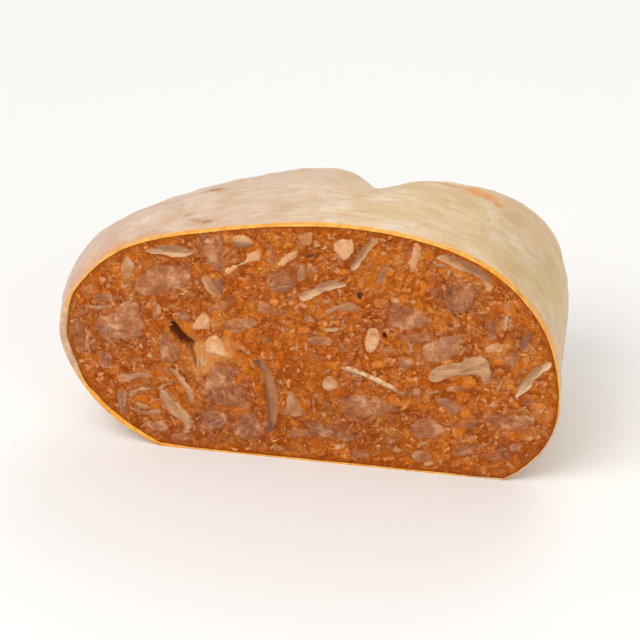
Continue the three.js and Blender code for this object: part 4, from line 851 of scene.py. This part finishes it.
    # the cut edge is soaked with paprika fat, and beige where it is cut at a slant
    soak = add(tree, "ShaderNodeValToRGB", {0: ragged.outputs["Fac"]}, stops=[(0.3, "#DC8614"), (0.5, "#F0A22A"), (0.7, "#F6C256")])
    beige = add(tree, "ShaderNodeValToRGB", {0: ragged.outputs["Fac"]}, stops=[(0.3, "#B98862"), (0.5, "#C9A27E"), (0.7, "#DDBE9C")])
    cut_edge = add(tree, "ShaderNodeMix", {
        0: marks["slant"], MIX_A: soak.outputs[0], MIX_B: beige.outputs[0]}, data_type="RGBA").outputs[MIXED]
    wave = add(tree, "ShaderNodeMath", {0: torn.outputs[0], 1: 0.5, 2: marks["edge"]}, operation="MULTIPLY_ADD")
    share = add(tree, "ShaderNodeMapRange", {0: wave.outputs[0], 1: 0.3, 2: 0.75, 3: 0.0, 4: 0.95}, interpolation_type="SMOOTHSTEP")
    colour = add(tree, "ShaderNodeMix", {0: share.outputs[0], MIX_A: colour, MIX_B: cut_edge}, data_type="RGBA").outputs[MIXED]
    tree.links.new(colour, shader.inputs["Base Color"])
    rough = add(tree, "ShaderNodeMapRange", {0: patch.outputs["Fac"], 1: 0.35, 2: 0.65, 3: 0.36, 4: 0.52})
    tree.links.new(rough.outputs[0], shader.inputs["Roughness"])
    wrinkle = add(tree, "ShaderNodeTexNoise", {"Vector": where, "Scale": per_mm(4.5), "Detail": 4, "Roughness": 0.55, "Distortion": 0.4})
    ridge = add(tree, "ShaderNodeMath", {0: plain.outputs[0], 1: 0.3}, operation="MULTIPLY")
    high = add(tree, "ShaderNodeMath", {
        0: streak.outputs["Fac"], 1: ridge.outputs[0], 2: wrinkle.outputs["Fac"]}, operation="MULTIPLY_ADD")
    bump = add(tree, "ShaderNodeBump", {"Height": high.outputs[0], "Strength": 0.35, "Distance": 0.9 * MM})
    tree.links.new(bump.outputs[0], shader.inputs["Normal"])
    return finish


# ---- Pieces ---------------------------------------------------------------------------------

def new_piece(name, points, faces, finish, marks={}):
    """A piece from points in the cut's frame. Marks are numbers for its material, one a point."""
    mesh = bpy.data.meshes.new(name)
    mesh.from_pydata(placed(points).tolist(), [], [list(map(int, f)) for f in faces])
    for mark, values in marks.items():
        mesh.attributes.new(mark, "FLOAT", "POINT").data.foreach_set("value", np.asarray(values, np.float32))
    mesh.shade_smooth()
    mesh.materials.append(finish)
    piece = bpy.data.objects.new(name, mesh)
    bpy.context.scene.collection.objects.link(piece)
    return piece


def band(first, second, count):
    """Quads between two rings of points that start at these numbers."""
    i = np.arange(count)
    j = (i + 1) % count
    return np.stack([first + i, first + j, second + j, second + i], -1).tolist()


def spots(rows, points):
    """How strongly the marks in rows show at points on the outside."""
    shown = np.zeros(len(points))
    for turns, back, length, width, strength in rows:
        at, ahead = (outside(np.array([t]), np.array([back]))[0] for t in (turns, turns + 0.002))
        ahead = (ahead - at) / np.linalg.norm(ahead - at)
        off = points - at
        along = off @ ahead
        aside2 = (off**2).sum(1) - along**2
        shown = np.maximum(shown, strength * np.exp(-((along / length) ** 2) - aside2 / width**2))
    return shown


def stomach_wall():
    """The wall as a closed shell: its outside, its cut edge and, out of sight, its inside."""
    turns, back = np.meshgrid(np.arange(WALL_SIDES) / WALL_SIDES, np.linspace(0, 1, WALL_RINGS, endpoint=False))
    skin = outside(turns, back)
    flat = skin.reshape(-1, 3)
    free = eased(skin[..., 2], 0, 6) * eased(skin[..., 1], 0, 5) * (1 - 0.7 * crease_share(skin[..., 0]))
    swell = 0.5 * lumps(flat, 19, 2, 1) + 0.4 * lumps(flat, 8, 2, 2) + 0.14 * lumps(flat, 3.2, 2, 4)
    inwards = inward(skin)
    skin = skin - inwards * (swell.reshape(free.shape) * free)[..., None]
    skin[..., 2] = np.maximum(skin[..., 2], 0)
    from_cut = np.cumsum(np.linalg.norm(np.diff(skin, axis=0, prepend=skin[:1]), axis=-1), 0)

    # the cut edge as rings from outside to inside: [share of its width, depth]
    across = inwards[0] * [1, 0, 1]
    across *= (edge_width(turns[0]) / np.linalg.norm(across, axis=1))[:, None]
    edge = [skin[0] + across * share + [0, y, 0]
            for share, y in ((1.0, 1.2), (1.0, 0.25), (0.9, 0.02), (0.55, -0.06), (0.2, 0.0), (0.05, 0.16))]
    hidden_skin = outside(turns, back, HIDDEN_CREASE)
    hidden_skin += inward(hidden_skin) * (WALL_THICKNESS + 0.4 * (1 - free))[..., None]
    inside = [hidden_skin[i] for i in range(WALL_RINGS - 1, 3, -4)]
    for ring in inside:
        ring[:, 2] = np.maximum(ring[:, 2], WALL_THICKNESS * 0.9)
    skin[0, :, 1] += 0.35
    rear = outside(np.zeros(1), np.ones(1))
    stack = [*inside, *edge, *skin]
    points = np.concatenate([*stack, rear, rear - [[0, 3 * WALL_THICKNESS, 0]]])
    faces = []
    for k in range(len(stack) - 1):
        faces += band((k + 1) * WALL_SIDES, k * WALL_SIDES, WALL_SIDES)
    i = np.arange(WALL_SIDES)
    j = (i + 1) % WALL_SIDES
    last, tip = (len(stack) - 1) * WALL_SIDES, len(stack) * WALL_SIDES
    faces += np.stack([last + j, last + i, 0 * i + tip], -1).tolist()
    faces += np.stack([i, j, 0 * i + tip + 1], -1).tolist()

    hidden = np.zeros((len(inside) + len(edge)) * WALL_SIDES)
    x, z = points[:, 0], points[:, 2]
    pale_low_right = 0.7 * eased(x, 40, 60) * (1 - eased(z, 22, 36))
    slant = np.tile(slanted_edge(turns[0]), len(stack))
    return new_piece("cooked_stomach_wall", points, faces, cooked_stomach(), {
        "from_cut": np.concatenate([hidden, from_cut.ravel(), [from_cut.max()] * 2]),
        "edge": np.concatenate([hidden[:len(inside) * WALL_SIDES], np.ones(len(edge) * WALL_SIDES),
                                1 - eased(from_cut, 0.0, 0.6).ravel(), [0, 0]]),
        "slant": np.maximum(np.append(slant, [0, 0]), pale_low_right),
        "brown": spots(BROWN_MARKS, points), "orange": spots(ORANGE_STAINS, points),
        "straw": spots(STRAW_PATCHES, points),
    })


def filling(pieces):
    """The paste, with a bed for each piece, and its face alone for the bits that lie on it."""
    turns = np.arange(FILLING_SIDES) / FILLING_SIDES
    first = outside(turns[None], np.array([[0.0], [0.02], [0.04]]))
    across = inward(first)[0] * [1, 0, 1]
    across /= np.linalg.norm(across, axis=1, keepdims=True)
    edge = (first[0] + across * (edge_width(turns) + EDGE_GAP)[:, None])[:, [0, 2]]
    flat, sheet = filled(edge, CUT_STEP, SEED)
    from_rim = signed_reach(edge, flat)

    deep = np.zeros(len(flat))
    for depth, knots in HOLES:
        loop = knotted_loop(knots, 0.5)
        loop = grown(loop, 0.15 * lumps(upright(loop), 3, 2, 21))
        close = near(loop, flat)
        deep[close] = np.maximum(deep[close], depth * eased(signed_reach(loop, flat[close]), -0.5, 2.0))
    level = 0.12 + 0.3 * lumps(upright(flat), 7, 2, 11) + 0.2 * lumps(upright(flat), 2.4, 2, 12)
    level += 0.15 * (1 - eased(from_rim, 0.0, 1.2))
    bare = ((deep < 0.2) & (from_rim > 1.2)).astype(float)
    for loop in pieces:
        close = near(loop, flat, 1.5)
        reach = signed_reach(loop, flat[close])
        level[close] += 0.9 * eased(reach, 0.5, 1.6)
        bare[close] = np.minimum(bare[close], 1 - eased(reach, -0.8, 0.0))
    level[:len(edge)] = 0.25
    face = upright(flat, np.maximum(level, -0.35) + deep)

    rings = outside(*np.meshgrid(turns, np.linspace(0.02, 1, FILLING_RINGS, endpoint=False)), HIDDEN_CREASE)
    rings = rings + inward(rings) * (WALL_THICKNESS + 0.6)
    rings[..., 2] = np.maximum(rings[..., 2], WALL_THICKNESS + 0.2)
    rings[..., 1] = np.maximum(rings[..., 1], 1.5)
    rear = outside(np.zeros(1), np.ones(1)) - [[0, 3 * WALL_THICKNESS + 0.4, 0]]
    start, points = len(face), np.concatenate([face, rings.reshape(-1, 3), rear])
    shell = band(start, 0, FILLING_SIDES)
    for k in range(FILLING_RINGS - 1):
        shell += band(start + (k + 1) * FILLING_SIDES, start + k * FILLING_SIDES, FILLING_SIDES)
    i = np.arange(FILLING_SIDES)
    last = start + (FILLING_RINGS - 1) * FILLING_SIDES
    shell += np.stack([last + (i + 1) % FILLING_SIDES, last + i, 0 * i + len(points) - 1], -1).tolist()
    hole, rim = np.zeros(len(points)), np.ones(len(points))
    # painted shade in the holes and along a hairline at the paste's edge by the wall
    hole[:start] = np.maximum(eased(deep, 0.1, 1.8), 0.15 * (1 - eased(from_rim, 0.1, 0.7)))
    rim[:start] = 1 - eased(from_rim, 0.6, 3.4)
    paste = new_piece("paprika_filling", points, sheet.tolist() + shell, paprika_paste(), {
        "hole": hole, "rim": rim, **broad_marks(points[:, 0], points[:, 2])})
    ground = new_piece("cut_ground", face, sheet.tolist(), paste.data.materials[0], {"bare": bare})
    return paste, ground


def inlay(loop, proud, sink, rise, thickness, relief, seed):
    """A piece that lies in the cut: a low dome that dips under the paste at its border."""
    flat, faces = filled(loop, PIECE_STEP, seed)
    ring = len(loop)
    reach = np.maximum(signed_reach(loop, flat), 0)
    reach[:ring] = 0
    y = sink - (sink + proud) * eased(reach, 0, rise)
    solid = upright(flat)
    y += relief * (lumps(solid, 4.5, 2, seed) + 0.5 * lumps(solid, 1.8, 2, seed + 1)) * eased(reach, 0.2, 1)
    back = flat[:ring].mean(0) + (flat[:ring] - flat[:ring].mean(0)) * 0.8
    caps = triangles_in(back)[1][:, ::-1]
    start = len(flat)
    faces = faces.tolist() + band(start, 0, ring) + (start + caps).tolist()
    return np.concatenate([upright(flat, y), upright(back, thickness)]), faces, np.append(reach, np.zeros(ring))


def inlays(name, group, finish, proud, sink, rise, thickness, relief):
    """One piece of all inlays of a kind. group holds (outline, tone, cream side) for each."""
    points, faces, marks = [], [], {"reach": [], "along": [], "across": [], "tone": [], "cream": []}
    start = 0
    for number, (loop, tone, cream) in enumerate(group):
        some, some_faces, reach = inlay(loop, proud, sink, rise, thickness, relief, SEED * 100 + number * 3)
        flat = some[:, [0, 2]] - some[:, [0, 2]].mean(0)
        long_way = np.linalg.eigh(np.cov(flat.T))[1][:, 1]
        long_way *= 1 if long_way[0] > 0 else -1
        across = flat @ np.array([-long_way[1], long_way[0]])
        points.append(some)
        faces += [[start + v for v in face] for face in some_faces]
        start += len(some)
        marks["reach"].append(reach)
        marks["along"].append(flat @ long_way + number * 37)
        marks["across"].append(across)
        marks["tone"].append(np.full(len(some), tone))
        marks["cream"].append(0.5 + 0.5 * cream * across / max(np.abs(across).max(), 0.5))
    points = np.concatenate(points)
    marks = {k: np.concatenate(v) for k, v in marks.items()}
    return new_piece(name, points, faces, finish, {**marks, **broad_marks(points[:, 0], points[:, 2])})


def packed_group(kind, grow, uneven):
    """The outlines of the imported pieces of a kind, grown a little and made uneven."""
    group = []
    for node, (tone, cream, knots) in CUT_PIECES.items():
        if node.startswith(kind + "_"):
            loop = knotted_loop(knots)
            solid = upright(loop)
            group.append((grown(loop, grow + uneven * lumps(solid, 4, 2, 31) + 0.4 * uneven * lumps(solid, 1.6, 2, 32)), tone, cream))
    return group


def scrap_group(rows, grow, uneven):
    """The outlines of scraps, grown a little and made uneven."""
    group = []
    for *row, tone in rows:
        loop = drawn_loop(*row)
        group.append((grown(loop, grow + uneven * lumps(upright(loop), 2.6, 2, 41)), tone, 0))
    return group


def crumb_nodes(tree, given):
    """A rounded crumb, 1 long, 1 wide and 1 thick."""
    return add(tree, "GeometryNodeMeshUVSphere", {"Segments": 7, "Rings": 4, "Radius": 0.5}).outputs["Mesh"]


def shred_nodes(tree, given):
    """A bent shred, 1 long, tapering to both ends, as wide as its share of the length says."""
    bend = 1.5
    path = add(tree, "GeometryNodeCurveArc", {
        "Resolution": 5, "Radius": 1 / bend, "Start Angle": -bend / 2, "Sweep Angle": bend}, mode="RADIUS")
    path = add(tree, "GeometryNodeTransform", {"Geometry": path.outputs[0], "Translation": (-1 / bend, 0, 0)})
    on = add(tree, "GeometryNodeSplineParameter").outputs["Factor"]
    rest = add(tree, "ShaderNodeMath", {0: 1.0, 1: on}, operation="SUBTRACT")
    bow = add(tree, "ShaderNodeMath", {0: on, 1: rest.outputs[0]}, operation="MULTIPLY")
    bow = add(tree, "ShaderNodeMath", {0: bow.outputs[0], 1: 4.0, 2: 0.06}, operation="MULTIPLY_ADD")
    bow = add(tree, "ShaderNodeMath", {0: bow.outputs[0], 1: 0.5}, operation="POWER")
    slim = add(tree, "ShaderNodeMath", {0: given["Width"], 1: given["Length"]}, operation="DIVIDE")
    ring = add(tree, "GeometryNodeCurvePrimitiveCircle", {"Resolution": 5, "Radius": 0.5}, mode="RADIUS")
    thin = add(tree, "ShaderNodeMath", {0: bow.outputs[0], 1: slim.outputs[0]}, operation="MULTIPLY")
    return add(tree, "GeometryNodeCurveToMesh", {
        "Curve": path.outputs[0], "Profile Curve": ring.outputs[0], "Scale": thin.outputs[0], "Fill Caps": True}).outputs[0]


def strewing(name, bit_nodes):
    """A tree that strews bits on a face where its mark "bare" says so."""
    tree = bpy.data.node_groups.new(name, "GeometryNodeTree")
    tree.is_modifier = True
    tree.interface.new_socket("Geometry", in_out="INPUT", socket_type="NodeSocketGeometry")
    for size in ("Spacing", "Per square metre", "Length", "Width", "Thickness", "Unevenness", "Sunk"):
        tree.interface.new_socket(size, in_out="INPUT", socket_type="NodeSocketFloat")
    tree.interface.new_socket("Seed", in_out="INPUT", socket_type="NodeSocketInt")
    tree.interface.new_socket("Finish", in_out="INPUT", socket_type="NodeSocketMaterial")
    tree.interface.new_socket("Geometry", in_out="OUTPUT", socket_type="NodeSocketGeometry")
    given = add(tree, "NodeGroupInput").outputs
    bare = add(tree, "GeometryNodeInputNamedAttribute", {"Name": "bare"}, data_type="FLOAT")
    sown = add(tree, "GeometryNodeDistributePointsOnFaces", {
        "Mesh": given["Geometry"], "Distance Min": given["Spacing"], "Density Max": given["Per square metre"],
        "Density Factor": bare.outputs["Attribute"], "Seed": given["Seed"]}, distribute_method="POISSON")
    spread = add(tree, "FunctionNodeRandomValue", {
        "Min": (0.6, 0.6, 0.7), "Max": (1.5, 1.4, 1.3), "Seed": given["Seed"]}, data_type="FLOAT_VECTOR")
    if bit_nodes is shred_nodes:
        size = add(tree, "ShaderNodeCombineXYZ", {0: given["Length"], 1: given["Length"], 2: given["Length"]})
    else:
        size = add(tree, "ShaderNodeCombineXYZ", {0: given["Length"], 1: given["Width"], 2: given["Thickness"]})
    size = add(tree, "ShaderNodeVectorMath", {0: size.outputs[0], 1: spread.outputs["Value"]}, operation="MULTIPLY")
    turned = add(tree, "FunctionNodeRandomValue", {
        "Min": (1.37, -3.14, -0.2), "Max": (1.77, 3.14, 0.2), "Seed": 5}, data_type="FLOAT_VECTOR")
    strewn = add(tree, "GeometryNodeInstanceOnPoints", {
        "Points": sown.outputs["Points"], "Instance": bit_nodes(tree, given), "Rotation": turned.outputs["Value"],
        "Scale": size.outputs[0]})
    tone = add(tree, "FunctionNodeRandomValue", {2: 0.0, 3: 1.0, "Seed": 9}, data_type="FLOAT")
    toned = add(tree, "GeometryNodeStoreNamedAttribute", {
        "Geometry": strewn.outputs[0], "Name": "tone", "Value": tone.outputs[1]}, data_type="FLOAT", domain="INSTANCE")
    real = add(tree, "GeometryNodeRealizeInstances", {"Geometry": toned.outputs[0]})
    inside = add(tree, "GeometryNodeStoreNamedAttribute", {
        "Geometry": real.outputs[0], "Name": "reach", "Value": 0.45}, data_type="FLOAT", domain="POINT")
    at = add(tree, "GeometryNodeInputPosition")
    dent = add(tree, "ShaderNodeTexNoise", {"Vector": at.outputs[0], "Scale": per_mm(1.6), "Detail": 1})
    dent = add(tree, "ShaderNodeVectorMath", {0: dent.outputs["Color"], 1: (0.5, 0.5, 0.5)}, operation="SUBTRACT")
    push = add(tree, "ShaderNodeVectorMath", {0: dent.outputs[0], "Scale": given["Unevenness"]}, operation="SCALE")
    deep = add(tree, "ShaderNodeCombineXYZ", {1: given["Sunk"]})
    push = add(tree, "ShaderNodeVectorMath", {0: push.outputs[0], 1: deep.outputs[0]}, operation="ADD")
    shaped = add(tree, "GeometryNodeSetPosition", {"Geometry": inside.outputs[0], "Offset": push.outputs[0]})
    smooth = add(tree, "GeometryNodeSetShadeSmooth", {"Geometry": shaped.outputs[0]})
    coated = add(tree, "GeometryNodeSetMaterial", {"Geometry": smooth.outputs[0], "Material": given["Finish"]})
    add(tree, "NodeGroupOutput", {"Geometry": coated.outputs[0]})
    return tree


def strewn_bits(name, ground, tree, values):
    """Bits strewn on the bare paste, as one plain mesh. values are the tree's inputs by name."""
    holder = bpy.data.objects.new(name + "_ground", ground.data)
    bpy.context.scene.collection.objects.link(holder)
    strewn = holder.modifiers.new("strewn", "NODES")
    strewn.node_group = tree
    for socket in tree.interface.items_tree:
        if socket.in_out == "INPUT" and socket.name in values:
            strewn[socket.identifier] = values[socket.name]
    mesh = bpy.data.meshes.new_from_object(holder.evaluated_get(bpy.context.evaluated_depsgraph_get()))
    mesh.name = name
    bpy.data.objects.remove(holder)
    bits = bpy.data.objects.new(name, mesh)
    bpy.context.scene.collection.objects.link(bits)
    return bits


# ---- Building -------------------------------------------------------------------------------

meat, fat, rind = packed_group("meat", 0.5, 0.8), packed_group("fat", 0.35, 0.4), packed_group("skin", 0.3, 0.35)
meat_bits, fat_bits = scrap_group(MEAT_SCRAPS, 0.4, 0.7), scrap_group(FAT_SCRAPS, 0.3, 0.4)
curls, lumps_of_fat = scrap_group(RIND_CURLS, 0.25, 0.3), scrap_group(PAPRIKA_LUMPS, 0.4, 0.8)
# the clots hold one line of painted shadow under meat_08
clots = scrap_group(DARK_CLOTS_AND_SHADOW, 0.1, 0.3)

wall = stomach_wall()
paste, ground = filling([loop for group in (meat, fat, rind, meat_bits, fat_bits, curls, lumps_of_fat) for loop, _, _ in group])
pork, pale_fat, skin, orange_fat, pepper = boiled_pork(), back_fat(), boiled_rind(), paprika_fat(), pepper_and_painted_shadow()

# proud, sink, rise, thickness and relief in mm
pieces = {
    wall: "stomach_wall",
    paste: "filling",
    inlays("meat_pieces", meat, pork, 0.0, 0.7, 1.5, 3.0, 0.28): "meat",
    inlays("fat_pieces", fat, pale_fat, 0.35, 0.7, 1.3, 3.0, 0.15): "fat",
    inlays("rind_strips", rind, skin, 0.4, 0.6, 1.1, 2.6, 0.15): "skin",
    inlays("meat_scraps", meat_bits, pork, 0.0, 0.6, 1.0, 2.4, 0.2): "meat",
    inlays("fat_scraps", fat_bits, pale_fat, 0.3, 0.5, 0.8, 2.0, 0.1): "fat",
    inlays("rind_curls", curls, skin, 0.35, 0.4, 0.5, 1.6, 0.08): "skin",
    inlays("paprika_lumps", lumps_of_fat, orange_fat, 0.25, 0.5, 1.0, 2.0, 0.15): "filling",
    inlays("dark_clots_and_shadow", clots, pepper, 0.1, 0.3, 0.5, 1.2, 0.1): "filling",
}
shred_tree, crumb_tree = strewing("strewn_shreds", shred_nodes), strewing("strewn_crumbs", crumb_nodes)
pieces[strewn_bits("paprika_shreds", ground, shred_tree, {
    "Spacing": 2.5 * MM, "Per square metre": 100000.0, "Length": 3.0 * MM, "Width": 1.3 * MM,
    "Unevenness": 1.4 * MM, "Sunk": 0.3 * MM, "Seed": 3, "Finish": orange_fat})] = "filling"
pieces[strewn_bits("fat_crumbs", ground, crumb_tree, {
    "Spacing": 4.5 * MM, "Per square metre": 24000.0, "Length": 1.9 * MM, "Width": 1.3 * MM, "Thickness": 0.6 * MM,
    "Unevenness": 1.0 * MM, "Sunk": 0.05 * MM, "Seed": 4, "Finish": pale_fat})] = "fat"
pieces[strewn_bits("pepper_specks", ground, crumb_tree, {
    "Spacing": 8.0 * MM, "Per square metre": 7000.0, "Length": 0.9 * MM, "Width": 0.7 * MM, "Thickness": 0.5 * MM,
    "Unevenness": 0.3 * MM, "Sunk": 0.0, "Seed": 6, "Finish": pepper})] = "filling"
bpy.data.objects.remove(ground)

for piece, slot in pieces.items():
    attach(piece, "root")
    for kind, name in (("meat", "meat_pieces"), ("fat", "fat_pieces"), ("skin", "rind_strips")):
        if piece.name == name:
            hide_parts(*(node for node in CUT_PIECES if node.startswith(kind)))
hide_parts("stomach_wall")
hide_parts("filling")

# ---- Floor, light and camera ----------------------------------------------------------------

floor_mesh = bpy.data.meshes.new("floor")
floor_mesh.from_pydata([(-4, -4, 0), (4, -4, 0), (4, 4, 0), (-4, 4, 0)], [], [(0, 1, 2, 3)])
floor = bpy.data.objects.new("floor", floor_mesh)
bpy.context.scene.collection.objects.link(floor)
floor_finish, _, floor_shader, _ = new_finish("pale_floor", 0.5, 0.0, 1.0)
floor_shader.inputs["Base Color"].default_value = linear("#F2F0ED")
floor_shader.inputs["Roughness"].default_value = 0.7
floor_mesh.materials.append(floor_finish)

world = bpy.data.worlds.new("studio")
bpy.context.scene.world = world
world.use_nodes = True
world.node_tree.nodes["Background"].inputs["Color"].default_value = linear("#FFFFFF")
world.node_tree.nodes["Background"].inputs["Strength"].default_value = 0.62

for name, place, size, power in (
        ("key", (-0.5, -0.75, 1.15), 0.9, 11.0), ("fill", (0.9, -0.9, 0.6), 0.9, 3.5), ("back", (0.2, 1.1, 1.0), 0.8, 4.0)):
    light = bpy.data.lights.new(name, "AREA")
    light.size, light.energy = size, power
    lamp = bpy.data.objects.new(name, light)
    lamp.location = place
    lamp.rotation_euler = (Vector((0, 0, 0.05)) - Vector(place)).to_track_quat("-Z", "Y").to_euler()
    bpy.context.scene.collection.objects.link(lamp)

# The photograph's viewpoint, worked out from the perspective of what the part stands on. It is
# turned onto the part and has a longer lens, so the part fills the picture.
VIEWPOINT = Vector((194.1, -1052.8, 667.3)) * MM
AIM = Vector((2, -14, 46)) * MM
lens = bpy.data.cameras.new("camera")
lens.lens, lens.sensor_width = 180, 36
camera = bpy.data.objects.new("camera", lens)
camera.location = VIEWPOINT
camera.rotation_euler = (AIM - VIEWPOINT).to_track_quat("-Z", "Y").to_euler()
bpy.context.scene.collection.objects.link(camera)
bpy.context.scene.camera = camera
bpy.context.scene.view_settings.view_transform = "Standard"
